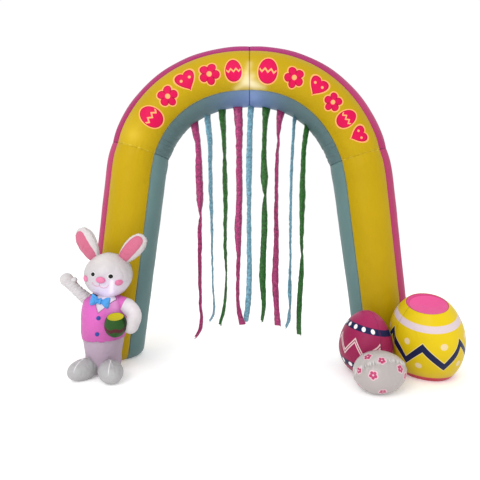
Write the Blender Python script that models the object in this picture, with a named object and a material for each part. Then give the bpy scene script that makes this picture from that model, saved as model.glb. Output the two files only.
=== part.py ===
"""Inflatable walk-through arch with hanging ribbons, a waving rabbit and three eggs.

Every inflated piece is air-tight cloth, built as a thin closed skin.  The arch is a tube of four
lengthwise panels, each cut in two legs and two arcs.  Metres, +Z up, the front faces -Y.
The figures are worked out about the arch's own middle, and the root empty then stands the whole
part so that the bottom centre of its box is the origin.
"""
import math
from bisect import bisect_left
from collections import namedtuple

import bmesh
import bpy
from mathutils import Euler, Matrix, Vector

# ---------------------------------------------------------------- driving dimensions
GAP = 0.0003  # clearance between neighbouring pieces
CLOTH = 0.002  # skin of every inflated piece
RIBBON_CLOTH = 0.0015

SPINE_TOP = 2.212  # tube's centre line at the apex
SPLAY = 0.12  # how far the centre line moves outward for each metre down
SEAM_HALF = 0.151  # half the distance between two lengthwise seams of the tube
PANEL_CROWN = 0.234  # tube's centre to the middle of each bulged panel
PINCH = 0.030  # share of the section drawn in at a cross seam
PINCH_REACH = 0.055  # how far from the seam that is felt
BASE_CURVE = 0.055  # radius where a leg turns under onto its base

ROLL_REACH = 0.9  # distance from the apex over which a side's roll builds up

# centre line of each side: a superellipse above the spring line and a straight leg below it.
# roll is the angle in degrees its sections turn about that line, and foot is their size at the ground
Side = namedtuple("Side", "name sign spring half fullness shoulder roll foot")
SIDES = (
    Side("left", -1, 1.428, 0.808, 2.25, 1.626, 0, 0.95),
    Side("right", 1, 1.330, 0.804, 2.30, 1.575, 6, 0.92),
)
PANELS = ("front", "outer", "back", "inner")
PANEL_COLOURS = ("yellow", "rose", "yellow", "slate")

SPINE_STEPS = 240  # points of the centre line that lengths are measured on
DIRECTION_STEP = 0.02  # reach each way when the centre line's direction is taken
ACROSS = 4  # faces across a panel
ARC_STEPS = 13  # faces along an arc panel
LEG_STEPS = 6  # faces along a leg panel
CURL_STEPS = 3  # faces in the turn onto the base

# ribbons: x in millimetres and face angle in degrees at nine even heights from the top to
# hook_z, and the free end as a step in x, y and z from there.  Angle 0 faces the front.
RIBBON_WIDTH = 0.067
RIBBON_STEPS = 27
Ribbon = namedtuple("Ribbon", "colour top_z hook_z y tail xs faces")
RIBBONS = (
    Ribbon("rose", 1.836, 0.228, 0.000, (-49, -10, -90),
           (-445, -406, -399, -393, -393, -394, -393, -391, -385),
           (43, 57, 46, 40, 119, 123, 121, 105, 116, 100)),
    Ribbon("sky", 1.900, 0.348, 0.004, (-38, 15, -88),
           (-339, -314, -309, -306, -300, -297, -295, -290, -281),
           (47, 53, 57, 64, 75, 84, 90, 103, 101, 75)),
    Ribbon("green", 1.950, 0.396, -0.003, (-36, -8, -158),
           (-221, -203, -195, -191, -187, -190, -189, -184, -197),
           (18, 50, 64, 63, 55, 64, 80, 105, 112, 110)),
    Ribbon("rose", 1.975, 0.396, -0.006, (36, -52, -140),
           (-96, -81, -78, -78, -78, -88, -84, -93, -88),
           (2, 33, 47, 42, 46, 35, 64, 76, 71, 45)),
    Ribbon("sky", 1.983, 0.392, 0.006, (-20, 34, -136),
           (16, 8, 2, 0, -2, -2, 0, 2, -8),
           (48, 53, 46, 48, 67, 65, 58, 53, 49, 54)),
    Ribbon("green", 1.967, 0.396, 0.000, (-19, 6, -132),
           (138, 125, 119, 122, 123, 122, 112, 107, 116),
           (26, 50, 58, 33, 120, 129, 132, 130, 112, 95)),
    Ribbon("rose", 1.937, 0.358, 0.004, (8, -6, -130),
           (255, 231, 222, 216, 215, 218, 213, 208, 221),
           (20, 77, 116, 111, 114, 128, 133, 137, 112, 135)),
    Ribbon("sky", 1.888, 0.308, -0.004, (-29, -12, -88),
           (365, 349, 339, 333, 329, 326, 324, 325, 319),
           (61, 73, 72, 67, 69, 76, 81, 60, 100, 80)),
    Ribbon("green", 1.824, 0.276, 0.002, (2, 8, -124),
           (466, 440, 430, 426, 422, 418, 418, 405, 397),
           (48, 52, 49, 39, 54, 67, 111, 118, 117, 110)),
)

# rabbit, standing against the front of the left leg
BODY_X, BODY_Y = -1.030, -0.373
HEM_Z = 0.245
BODY_SEGMENTS = 18
Row = namedtuple("Row", "z half_width half_depth")
BODY_ROWS = (
    Row(0.000, 0.070, 0.075),
    Row(0.012, 0.100, 0.105),
    Row(0.050, 0.117, 0.122),
    Row(0.120, 0.120, 0.126),
    Row(0.200, 0.132, 0.134),
    Row(HEM_Z - 0.008, 0.138, 0.137),
    Row(HEM_Z + 0.006, 0.144, 0.148),
    Row(0.300, 0.149, 0.156),
    Row(0.400, 0.149, 0.158),
    Row(0.470, 0.142, 0.152),
    Row(0.520, 0.124, 0.134),
    Row(0.552, 0.080, 0.090),
)
NECK_POINT = (-1.008, 0.446)  # x and z of the neckline's lowest point
NECK_LEFT, NECK_RIGHT = 0.052, 0.190  # reach of the neckline to each side, NECK_RISE further up
NECK_RISE = 0.156
HEAD = Vector((-0.992, -0.390, 0.686))
HEAD_RADII = (0.163, 0.165, 0.155)
HEAD_ROLL = 7  # degrees about Y, the head leans toward the pot
EAR_HALF_DEPTH = 0.050
EAR_HALF_LENGTH = 0.135
EAR_RIM = 0.011  # white cloth left showing past the tip of an ear's lining
EAR_TAPER = -0.28
POT_SEGMENTS = 14

# eggs, lying and standing against the front of the right leg
YELLOW_EGG = Vector((1.227, -0.420, 0.250))
YELLOW_EGG_RADII = (0.244, 0.262, 0.325)
YELLOW_EGG_TILT = (18, -6, 0)
YELLOW_EGG_SEGMENTS = 24
YELLOW_TOP_UP = 0.272  # along the egg's axis, from its middle to its cut top
YELLOW_BASE_Z = 0.030
MAGENTA_EGG = Vector((0.822, -0.375, 0.207))
WHITE_EGG = Vector((0.811, -0.722, 0.123))

# colour, roughness and metallic value of each cloth
Finish = namedtuple("Finish", "red green blue roughness")
FINISHES = {
    "yellow": Finish(0.60, 0.42, 0.02, 0.45),
    "rose": Finish(0.50, 0.06, 0.17, 0.50),
    "slate": Finish(0.13, 0.21, 0.23, 0.50),
    "sky": Finish(0.20, 0.42, 0.58, 0.55),
    "green": Finish(0.03, 0.15, 0.04, 0.55),
    "white": Finish(0.75, 0.73, 0.74, 0.45),
    "pink": Finish(0.75, 0.20, 0.55, 0.45),
    "blue": Finish(0.10, 0.40, 0.75, 0.45),
    "navy": Finish(0.03, 0.08, 0.35, 0.40),
    "magenta": Finish(0.36, 0.02, 0.10, 0.45),
    "red": Finish(0.50, 0.04, 0.05, 0.50),
    "coral": Finish(0.85, 0.22, 0.35, 0.40),
    "black": Finish(0.01, 0.01, 0.01, 0.30),
}


# ---------------------------------------------------------------- general helpers
def clear_scene():
    for old in list(bpy.data.objects):
        bpy.data.objects.remove(old, do_unlink=True)


def cloth_material(colour):
    """The one material of this colour, made when it is first asked for."""
    name = colour + " cloth"
    if name in bpy.data.materials:
        return bpy.data.materials[name]
    finish = FINISHES[colour]
    material = bpy.data.materials.new(name)
    material.use_nodes = True
    shader = material.node_tree.nodes["Principled BSDF"]
    shader.inputs["Base Color"].default_value = (finish.red, finish.green, finish.blue, 1)
    shader.inputs["Roughness"].default_value = finish.roughness
    shader.inputs["Metallic"].default_value = 0
    return material


def new_object(name, bm, colour, root, smooth=True):
    """Turn a bmesh with outward faces into a named object under the root."""
    bmesh.ops.recalc_face_normals(bm, faces=bm.faces)
    mesh = bpy.data.meshes.new(name)
    bm.to_mesh(mesh)
    bm.free()
    obj = bpy.data.objects.new(name, mesh)
    bpy.context.scene.collection.objects.link(obj)
    obj.parent = root
    mesh.materials.append(cloth_material(colour))
    if smooth:
        mesh.shade_smooth()
        mesh.set_sharp_from_angle(angle=math.radians(50))
    return obj


def make_guide(obj):
    """Keep an object as a cutter only."""
    obj.hide_render = True
    obj.display_type = "WIRE"
    return obj


def grown(volume, distance, name):
    """A cutter: the volume with its surface moved outward, or inward for a negative distance."""
    guide = bpy.data.objects.new(name, volume.data)
    bpy.context.scene.collection.objects.link(guide)
    guide.parent = volume.parent
    guide.matrix_basis = volume.matrix_basis
    for modifier in volume.modifiers:
        if modifier.type == "BOOLEAN":
            boolean(guide, modifier.object, modifier.operation)
    push = guide.modifiers.new("grow", "DISPLACE")
    push.strength = distance
    push.mid_level = 0
    return make_guide(guide)


def boolean(obj, cutter, operation="DIFFERENCE"):
    cut = obj.modifiers.new(cutter.name, "BOOLEAN")
    cut.operation = operation
    cut.object = cutter
    cut.solver = "EXACT"


def skin(volume, name, colour, thickness=CLOTH):
    """A cloth skin just under the surface of a volume, as an object of its own."""
    shell = bpy.data.objects.new(name, volume.data.copy())
    bpy.context.scene.collection.objects.link(shell)
    shell.parent = volume.parent
    shell.matrix_basis = volume.matrix_basis
    shell.data.materials.clear()
    shell.data.materials.append(cloth_material(colour))
    wall = shell.modifiers.new("cloth", "SOLIDIFY")
    wall.thickness = thickness
    wall.offset = -1
    wall.use_even_offset = True
    return shell


def smooth_value(values, place):
    """A value between table entries, on a Catmull-Rom curve; place counts entries from 0."""
    last = len(values) - 1
    at = min(int(place), last - 1)
    t = place - at
    a, b, c, d = (values[max(0, min(last, i))] for i in (at - 1, at, at + 1, at + 2))
    return b + 0.5 * t * (c - a + t * (2 * a - 5 * b + 4 * c - d + t * (3 * (b - c) + d - a)))


def sheet(name, point, rows, columns, thickness, colour, root):
    """A closed cloth sheet: point(row, column, depth) gives its outer and its inner face.

    Both faces are split along the same diagonals, so a twisted sheet keeps its thickness.
    """
    bm = bmesh.new()
    outer, inner = (
        [[bm.verts.new(point(i, j, depth)) for j in range(columns + 1)] for i in range(rows + 1)]
        for depth in (0, thickness)
    )
    for face, turn in ((outer, 1), (inner, -1)):
        for i in range(rows):
            for j in range(columns):
                a, b, c, d = face[i][j], face[i][j + 1], face[i + 1][j + 1], face[i + 1][j]
                bm.faces.new((a, b, c)[::turn])
                bm.faces.new((a, c, d)[::turn])
    border = [(i, 0) for i in range(rows)] + [(rows, j) for j in range(columns)]
    border += [(i, columns) for i in range(rows, 0, -1)] + [(0, j) for j in range(columns, 0, -1)]
    for (i, j), (k, m) in zip(border, border[1:] + border[:1]):
        bm.faces.new((outer[i][j], outer[k][m], inner[k][m], inner[i][j]))
    return new_object(name, bm, colour, root)


def ball(name, centre, radii, root, segments, rings, colour="white", tilt=(0, 0, 0), taper=0.0,
         floor=False):
    """A closed round volume.  taper narrows its +Z end, and floor flattens it where it meets z = 0."""
    bm = bmesh.new()
    bmesh.ops.create_uvsphere(bm, u_segments=segments, v_segments=rings, radius=1)
    for vert in bm.verts:
        side = 1 - taper * vert.co.z
        vert.co = Vector((vert.co.x * side * radii[0], vert.co.y * side * radii[1], vert.co.z * radii[2]))
    turn = Euler([math.radians(angle) for angle in tilt]).to_matrix().to_4x4()
    place = Matrix.Translation(centre) @ turn
    if floor:
        back = place.inverted()
        for vert in bm.verts:
            world = place @ vert.co
            world.z = max(world.z, 0)
            vert.co = back @ world
    obj = new_object(name, bm, colour, root)
    obj.matrix_basis = place
    return obj


def loft(name, rings, root, colour="white"):
    """A closed volume through rings of points, with flat ends."""
    bm = bmesh.new()
    loops = [[bm.verts.new(point) for point in ring] for ring in rings]
    count = len(loops[0])
    for low, high in zip(loops, loops[1:]):
        for j in range(count):
            k = (j + 1) % count
            bm.faces.new((low[j], low[k], high[k], high[j]))
    bm.faces.new(loops[0][::-1])
    bm.faces.new(loops[-1])
    return new_object(name, bm, colour, root)


def limb(name, joints, root, segments=10, colour="white", cap_steps=2):
    """A closed round limb through (point, radius) joints, with rounded ends."""
    points = [Vector(joint[0]) for joint in joints]
    radii = [joint[1] for joint in joints]
    rings = []
    steps = 2
    places = [i / steps for i in range((len(points) - 1) * steps + 1)]
    centres = [
        Vector([smooth_value([point[axis] for point in points], place) for axis in range(3)])
        for place in places
    ]
    sizes = [smooth_value(radii, place) for place in places]
    ends = [
        (centres[0], centres[0] - centres[1], sizes[0]),
        (centres[-1], centres[-1] - centres[-2], sizes[-1]),
    ]
    stations = []
    for (centre, outward, size), order in zip(ends, (-1, 1)):
        cap = []
        for step in range(1, cap_steps + 1):
            angle = math.radians(82) * step / cap_steps
            cap.append((centre + outward.normalized() * size * math.sin(angle), size * math.cos(angle)))
        stations.append(cap[::order])
    stations = stations[0] + list(zip(centres, sizes)) + stations[1]
    for index, (centre, size) in enumerate(stations):
        before = stations[max(index - 1, 0)][0]
        after = stations[min(index + 1, len(stations) - 1)][0]
        along = (after - before).normalized()
        side = along.cross(Vector((0, 1, 0))).normalized()
        other = along.cross(side)
        angles = [math.tau * step / segments for step in range(segments)]
        rings.append([centre + (side * math.cos(a) + other * math.sin(a)) * size for a in angles])
    return loft(name, rings, root, colour)


def block(name, low, high, root):
    """A box-shaped cutter between two corners."""
    bm = bmesh.new()
    bmesh.ops.create_cube(bm, size=1)
    centre = (Vector(low) + Vector(high)) / 2
    extent = Vector(high) - Vector(low)
    bmesh.ops.scale(bm, vec=extent, verts=bm.verts)
    bmesh.ops.translate(bm, vec=centre, verts=bm.verts)
    return make_guide(new_object(name, bm, "white", root, smooth=False))


def dished_disc(name, place, radius, dish, colour, root, segments, rings=3):
    """A round cloth panel, lower in the middle by dish; its +Z face is the outer one."""
    bm = bmesh.new()
    layers = []
    for depth in (0, CLOTH):
        middle = bm.verts.new(place @ Vector((0, 0, -dish - depth)))
        loops = []
        for ring in range(1, rings + 1):
            share = ring / rings
            height = -dish * (1 - share * share) - depth
            angles = [math.tau * step / segments for step in range(segments)]
            reach = radius * share
            spots = [Vector((reach * math.cos(angle), reach * math.sin(angle), height)) for angle in angles]
            loops.append([bm.verts.new(place @ spot) for spot in spots])
        for j in range(segments):
            k = (j + 1) % segments
            bm.faces.new((middle, loops[0][j], loops[0][k]))
            for inside, outside in zip(loops, loops[1:]):
                bm.faces.new((inside[j], outside[j], outside[k], inside[k]))
        layers.append(loops[-1])
    for j in range(segments):
        k = (j + 1) % segments
        bm.faces.new((layers[0][j], layers[0][k], layers[1][k], layers[1][j]))
    return new_object(name, bm, colour, root)


# ---------------------------------------------------------------- the arch tube
def spine_path(side):
    """The tube's centre line in the XZ plane from the apex to the ground, x counted outward."""
    power = 2 / side.fullness
    rise = SPINE_TOP - side.spring
    path = []
    for step in range(SPINE_STEPS + 1):
        turn = math.pi / 2 * step / SPINE_STEPS
        height = side.spring + rise * max(0.0, math.cos(turn)) ** power
        out = side.half * math.sin(turn) ** power + SPLAY * (SPINE_TOP - height)
        path.append(Vector((out, 0, height)))
    path.append(Vector((side.half + SPLAY * SPINE_TOP, 0, 0)))
    return path


def path_lengths(path):
    lengths = [0.0]
    for start, end in zip(path, path[1:]):
        lengths.append(lengths[-1] + (end - start).length)
    return lengths


def point_along(path, lengths, distance):
    """The centre line's point at a distance from the apex; a negative distance is over the apex."""
    reach = abs(distance)
    index = min(max(bisect_left(lengths, reach), 1), len(path) - 1)
    start, end = path[index - 1], path[index]
    point = start.lerp(end, (reach - lengths[index - 1]) / (lengths[index] - lengths[index - 1]))
    return Vector((math.copysign(point.x, distance), 0, point.z))


def direction_along(path, lengths, distance):
    ahead = point_along(path, lengths, distance + DIRECTION_STEP)
    behind = point_along(path, lengths, distance - DIRECTION_STEP)
    return (ahead - behind).normalized()


def length_at_height(path, lengths, height):
    for index in range(1, len(path)):
        if path[index].z <= height:
            high, low = path[index - 1], path[index]
            share = (high.z - height) / (high.z - low.z)
            return lengths[index - 1] + share * (lengths[index] - lengths[index - 1])
    return lengths[-1]


Station = namedtuple("Station", "centre normal front scale turn")


def stations(side, part):
    """Sections along one side: "arc" from the apex to the shoulder seam, or "leg" from there down."""
    path = spine_path(side)
    lengths = path_lengths(path)
    seam = length_at_height(path, lengths, side.shoulder)
    foot = length_at_height(path, lengths, BASE_CURVE)
    ends = (0.0, seam) if part == "arc" else (seam, foot)
    near = (0.0, PINCH_REACH * 0.5, PINCH_REACH * 1.3)
    start, stop = ends[0] + GAP, ends[1] - (GAP if part == "arc" else 0)
    first = start + near[-1]
    last = stop - near[-1] if part == "arc" else stop
    count = ARC_STEPS - 4 if part == "arc" else LEG_STEPS - 2
    distances = [start + step for step in near[:-1]]
    distances += [first + (last - first) * step / count for step in range(count + 1)]
    if part == "arc":
        distances += [stop - step for step in near[-2::-1]]
    result = []
    for distance in distances:
        centre = point_along(path, lengths, distance)
        along = direction_along(path, lengths, distance)
        normal = Vector((-along.z, 0, along.x))
        down = min(1.0, max(0.0, (side.shoulder - centre.z) / (side.shoulder - BASE_CURVE)))
        level = down * down * (3 - 2 * down)
        normal = normal.lerp(Vector((1, 0, 0)), level).normalized()
        front = Vector((0, -1, 0))
        turned = min(1.0, distance / ROLL_REACH)
        roll = math.radians(side.roll) * turned * turned * (3 - 2 * turned)
        normal, front = (normal * math.cos(roll) + front * math.sin(roll),
                         front * math.cos(roll) - normal * math.sin(roll))
        reach = min(abs(distance - seam), distance)
        scale = 1 - PINCH * math.exp(-(reach / PINCH_REACH) ** 2) - (1 - side.foot) * down
        result.append(Station(centre, normal, front, scale, 0.0))
    if part == "leg":
        for step in range(1, CURL_STEPS + 1):
            turn = math.pi / 2 * step / CURL_STEPS
            height = BASE_CURVE * (1 - math.sin(turn))
            centre = Vector((side.half + SPLAY * (SPINE_TOP - height), 0, height))
            scale = side.foot - BASE_CURVE * (1 - math.cos(turn)) / PANEL_CROWN
            result.append(Station(centre, normal, front, scale, turn))
    return result


SAG = PANEL_CROWN - SEAM_HALF
PANEL_RADIUS = (SEAM_HALF ** 2 + SAG ** 2) / (2 * SAG)
PANEL_ANGLE = math.asin(SEAM_HALF / PANEL_RADIUS)
EDGE_TRIM = 0.7 * GAP / (PANEL_RADIUS * PANEL_ANGLE)  # share of a half panel left free at each seam


def panel_point(side, station, facing, across, depth):
    """A point of a panel; facing counts front, outer, back, inner; across runs from -1 to 1."""
    directions = (station.front, station.normal, -station.front, -station.normal)
    outward, sideways = directions[facing], directions[(facing + 1) % 4]
    angle = across * PANEL_ANGLE
    bulge = outward * math.cos(angle) + sideways * math.sin(angle)
    middle = outward * (PANEL_CROWN - PANEL_RADIUS)
    surface = station.centre + (middle + bulge * PANEL_RADIUS) * station.scale
    face = bulge * math.cos(station.turn) - Vector((0, 0, 1)) * math.sin(station.turn)
    point = surface - face * depth
    return Vector((side.sign * point.x, point.y, point.z))


def build_panel(side, part, facing, root):
    sections = stations(side, part)
    trim = 1 - EDGE_TRIM

    def point(i, j, depth):
        return panel_point(side, sections[i], facing, trim * (2 * j / ACROSS - 1), depth)

    name = f"{PANELS[facing]}_panel_{side.name}_{part}"
    return sheet(name, point, len(sections) - 1, ACROSS, CLOTH, PANEL_COLOURS[facing], root)


def tube_ring(side, station):
    """The whole outline of one section, seam to seam round the four panels."""
    return [
        panel_point(side, station, facing, 2 * j / ACROSS - 1, 0)
        for facing in range(4)
        for j in range(ACROSS)
    ]


def build_base(side, root):
    """The flat panel that closes the bottom of a leg."""
    last = stations(side, "leg")[-1]
    inset = 1 - 1.5 * GAP / (PANEL_CROWN * last.scale)
    centre = Vector((side.sign * last.centre.x, 0, 0))
    outline = [centre + (point - centre) * inset for point in tube_ring(side, last)]
    rings = [[Vector((point.x, point.y, height)) for point in outline] for height in (0, CLOTH)]
    return loft(f"base_panel_{side.name}", rings, root, "yellow")


def arch_volume(root):
    """The whole tube as one closed cutter, left base to right base."""
    rings = []
    for side, order in zip(SIDES, (-1, 1)):
        sections = stations(side, "arc") + stations(side, "leg")
        half = [tube_ring(side, station) for station in sections][::order]
        rings += half
    return make_guide(loft("arch_volume", rings, root))


# ---------------------------------------------------------------- ribbons
def build_ribbon(number, ribbon, root, tube):
    """A twisted strip hung from the inner panel, its free end swung aside."""
    top = ribbon.top_z + 0.03
    xs = [x / 1000 for x in ribbon.xs]
    xs.append(xs[-1] + ribbon.tail[0] / 1000)
    ys = [ribbon.y] * len(ribbon.xs) + [ribbon.y + ribbon.tail[1] / 1000]
    drop = (ribbon.hook_z - top) / (len(ribbon.xs) - 1)
    zs = [top + drop * k for k in range(len(ribbon.xs))] + [ribbon.hook_z + ribbon.tail[2] / 1000]

    def point(i, j, depth):
        place = (len(xs) - 1) * i / RIBBON_STEPS
        face = math.radians(smooth_value(ribbon.faces, place))
        across = Vector((math.cos(face), math.sin(face), 0))
        front = Vector((math.sin(face), -math.cos(face), 0))
        centre = Vector((smooth_value(xs, place), smooth_value(ys, place), smooth_value(zs, place)))
        return centre + across * RIBBON_WIDTH * (j - 0.5) + front * (RIBBON_CLOTH / 2 - depth)

    name = f"ribbon_{number}_{ribbon.colour}"
    strip = sheet(name, point, RIBBON_STEPS, 1, RIBBON_CLOTH, ribbon.colour, root)
    boolean(strip, tube)
    return strip


# ---------------------------------------------------------------- rabbit
def body_volume(root):
    rings = []
    angles = [math.tau * step / BODY_SEGMENTS for step in range(BODY_SEGMENTS)]
    for row in BODY_ROWS:
        xs = [BODY_X + row.half_width * math.cos(angle) for angle in angles]
        ys = [BODY_Y + row.half_depth * math.sin(angle) for angle in angles]
        rings.append([Vector((x, y, row.z)) for x, y in zip(xs, ys)])
    return make_guide(loft("body_volume", rings, root))


def body_front(x, z):
    """The y of the body's front surface at this place."""
    for low, high in zip(BODY_ROWS, BODY_ROWS[1:]):
        if low.z <= z <= high.z:
            share = (z - low.z) / (high.z - low.z)
            half_width = low.half_width + share * (high.half_width - low.half_width)
            half_depth = low.half_depth + share * (high.half_depth - low.half_depth)
            return BODY_Y - half_depth * math.sqrt(1 - ((x - BODY_X) / half_width) ** 2)
    raise ValueError("no body at this height")


def neckline(name, shrink, root):
    """A wedge-shaped cutter over the chest, its point down, standing clear of the body's back."""
    x, z = NECK_POINT
    outline = (
        (x - NECK_LEFT + shrink, z + NECK_RISE),
        (x + NECK_RIGHT - shrink, z + NECK_RISE),
        (x, z + 2 * shrink),
    )
    rings = [[Vector((x, y, z)) for x, z in outline] for y in (BODY_Y - 0.30, BODY_Y - 0.02)]
    return make_guide(loft(name, rings, root))


def build_body(root, body, head_clear, tube):
    low, high = (-1.5, -0.8, HEM_Z), (-0.7, 0.0, 0.8)
    above_hem = block("above_hem", low, high, root)
    below_hem = block("below_hem", (low[0], low[1], -0.1), (high[0], high[1], HEM_Z - GAP), root)
    vest = skin(body, "rabbit_vest", "pink")
    chest = skin(body, "rabbit_chest", "white")
    hips = skin(body, "rabbit_hips", "white")
    boolean(vest, above_hem, "INTERSECT")
    boolean(vest, neckline("vest_neckline", 0, root))
    boolean(chest, neckline("chest_outline", 1.5 * GAP, root), "INTERSECT")
    boolean(hips, below_hem, "INTERSECT")
    for piece in (vest, chest):
        boolean(piece, head_clear)
    for piece in (vest, hips):
        boolean(piece, tube)


def build_head(root, head, body_core, tube):
    shell = skin(head, "rabbit_head", "white")
    boolean(shell, body_core)
    boolean(shell, tube)


def build_ears(root, head_clear):
    """Two ears with a lining let into the front of each."""
    Ear = namedtuple("Ear", "name centre lean turn half_width lining_half_width")
    ears = (
        Ear("left", Vector((-1.133, -0.385, 0.890)), -27, -30, 0.078, 0.058),
        Ear("right", Vector((-0.833, -0.385, 0.860)), 43, -8, 0.066, 0.048),
    )
    for ear in ears:
        lean = Euler((0, math.radians(ear.lean), 0)).to_matrix()
        tilt = lean @ Euler((0, 0, math.radians(ear.turn))).to_matrix()
        angles = [math.degrees(angle) for angle in tilt.to_euler()]
        radii = (ear.half_width, EAR_HALF_DEPTH, EAR_HALF_LENGTH)
        volume = make_guide(ball(f"ear_volume_{ear.name}", ear.centre, radii, root, 14, 8, tilt=angles,
                                 taper=EAR_TAPER))
        forward = tilt @ Vector((0, -1.1 * EAR_HALF_DEPTH, 0))
        lining_radii = (ear.lining_half_width, EAR_HALF_DEPTH, EAR_HALF_LENGTH - EAR_RIM)
        window = make_guide(ball(f"ear_window_{ear.name}", ear.centre + forward, lining_radii, root, 14, 8,
                                 tilt=angles, taper=EAR_TAPER))
        back = skin(volume, f"rabbit_ear_{ear.name}", "white")
        lining = skin(volume, f"rabbit_ear_lining_{ear.name}", "coral")
        boolean(back, window)
        boolean(lining, grown(window, -GAP, f"ear_window_inner_{ear.name}"), "INTERSECT")
        for piece in (back, lining):
            boolean(piece, head_clear)


def face_place(sideways, up):
    """Where a pad sits on the head and how it is turned, from angles off the way the face looks."""
    turned = Euler((math.radians(-up), 0, math.radians(sideways))).to_matrix()
    tilt = Matrix.Rotation(math.radians(HEAD_ROLL), 3, "Y") @ turned
    direction = tilt @ Vector((0, -1, 0))
    reach = 1 / math.sqrt(sum((direction[axis] / HEAD_RADII[axis]) ** 2 for axis in range(3)))
    return HEAD + direction * reach, [math.degrees(angle) for angle in tilt.to_euler()]


def build_face(root, head_clear):
    """Stuffed nose, cheeks and eyes, each shaped to the head behind it."""
    Pad = namedtuple("Pad", "name sideways up half_width half_height bulge colour")
    pads = (
        Pad("nose", 2, -5, 0.031, 0.021, 0.016, "coral"),
        Pad("cheek_left", -45, -9, 0.029, 0.021, 0.009, "coral"),
        Pad("cheek_right", 45, -9, 0.031, 0.021, 0.009, "coral"),
        Pad("eye_left", -19, 5.5, 0.014, 0.016, 0.006, "black"),
        Pad("eye_right", 23, 5.5, 0.014, 0.016, 0.006, "black"),
    )
    for pad in pads:
        place, tilt = face_place(pad.sideways, pad.up)
        radii = (pad.half_width, pad.bulge, pad.half_height)
        piece = ball(f"rabbit_{pad.name}", place, radii, root, 10, 6, pad.colour, tilt=tilt)
        boolean(piece, head_clear)


def build_bow(root, body_clear, head_clear):
    """A stuffed bow, waisted where its knot goes round it."""
    centre = Vector((-0.994, body_front(-0.994, 0.520) - 0.018, 0.524))
    Slice = namedtuple("Slice", "out half_height half_depth")
    slices = (
        Slice(-0.069, 0.024, 0.006),
        Slice(-0.063, 0.037, 0.015),
        Slice(-0.041, 0.032, 0.020),
        Slice(-0.014, 0.014, 0.010),
        Slice(0.014, 0.014, 0.010),
        Slice(0.041, 0.032, 0.020),
        Slice(0.063, 0.037, 0.015),
        Slice(0.069, 0.024, 0.006),
    )
    roll = Matrix.Translation(centre) @ Matrix.Rotation(math.radians(12), 4, "Y")
    rings = []
    angles = [math.tau * step / 10 for step in range(10)]
    for part in slices:
        ys = [part.half_depth * math.cos(angle) for angle in angles]
        zs = [part.half_height * math.sin(angle) for angle in angles]
        rings.append([roll @ Vector((part.out, y, z)) for y, z in zip(ys, zs)])
    bow = loft("rabbit_bow", rings, root, "blue")
    knot = ball("rabbit_bow_knot", centre, (0.015, 0.019, 0.021), root, 10, 6, "blue", tilt=(0, 12, 0))
    bow_volume = grown(bow, GAP, "bow_clear")
    boolean(knot, bow_volume)
    for piece in (bow, knot):
        boolean(piece, body_clear)
        boolean(piece, head_clear)


def build_buttons(root, body_clear):
    for name, x, z in (("upper", -1.019, 0.412), ("lower", -1.027, 0.304)):
        centre = Vector((x, body_front(x, z), z))
        button = ball(f"rabbit_button_{name}", centre, (0.0145, 0.006, 0.0145), root, 12, 6, "navy")
        boolean(button, body_clear)


def build_arms(root, body_clear):
    """A waving arm with its thumb, and an arm bent round to hold the pot."""
    hand = ((-1.278, -0.410, 0.656), 0.043)
    waving = make_guide(limb("waving_volume", [
        ((-1.100, -0.385, 0.476), 0.046),
        ((-1.152, -0.395, 0.526), 0.039),
        ((-1.218, -0.405, 0.590), 0.035),
        hand,
    ], root))
    thumb = make_guide(limb("thumb_volume", [
        ((-1.262, -0.412, 0.635), 0.022),
        ((-1.238, -0.415, 0.648), 0.022),
        ((-1.220, -0.416, 0.654), 0.019),
    ], root, segments=8))
    boolean(waving, thumb, "UNION")
    holding = make_guide(limb("holding_volume", [
        ((-0.900, -0.385, 0.484), 0.050),
        ((-0.842, -0.403, 0.458), 0.053),
        ((-0.796, -0.440, 0.408), 0.049),
        ((-0.806, -0.490, 0.350), 0.052),
    ], root))
    hollow_waving = grown(waving, -CLOTH, "waving_hollow")
    arm = bpy.data.objects.new("rabbit_arm_waving", waving.data.copy())
    bpy.context.scene.collection.objects.link(arm)
    arm.parent = root
    boolean(arm, thumb, "UNION")
    boolean(arm, hollow_waving)
    boolean(arm, body_clear)
    bent = skin(holding, "rabbit_arm_holding", "white")
    boolean(bent, body_clear)
    return holding


def build_feet(root, body_clear):
    feet = (
        ("left", Vector((-1.120, -0.508, 0.062)), -35, 0.112),
        ("right", Vector((-0.922, -0.553, 0.063)), 30, 0.125),
    )
    for name, centre, turn, half_length in feet:
        volume = make_guide(ball(f"foot_volume_{name}", centre, (0.079, half_length, 0.071), root, 14, 8,
                                 tilt=(0, 0, turn), floor=True))
        foot = skin(volume, f"rabbit_foot_{name}", "white")
        boolean(foot, body_clear)


def build_pot(root, body_clear, holding):
    """A little egg-shaped pot with a dished top, held against the vest."""
    centre = Vector((-0.893, -0.540, 0.372))
    tilt = Euler((math.radians(17), math.radians(4), 0)).to_matrix().to_4x4()
    place = Matrix.Translation(centre) @ tilt
    radius, half_height, cut = 0.073, 0.088, 0.060
    volume = make_guide(ball("pot_volume", centre, (radius, radius, half_height), root, POT_SEGMENTS, 8,
                             tilt=[math.degrees(a) for a in tilt.to_euler()]))
    lid_space = block("pot_top_space", (-0.2, -0.2, cut), (0.2, 0.2, 0.4), root)
    lid_space.matrix_basis = place
    pot = skin(volume, "rabbit_pot", "green")
    boolean(pot, lid_space)
    boolean(pot, body_clear)
    boolean(pot, grown(holding, GAP, "holding_clear"))
    rim = radius * math.sqrt(1 - (cut / half_height) ** 2)
    top_place = place @ Matrix.Translation((0, 0, cut - GAP))
    top = dished_disc("rabbit_pot_top", top_place, rim, 0.008, "yellow", root, POT_SEGMENTS)
    boolean(top, grown(volume, -CLOTH - 2 * GAP, "pot_inside"), "INTERSECT")
    boolean(top, grown(holding, GAP, "holding_clear_top"))


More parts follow.
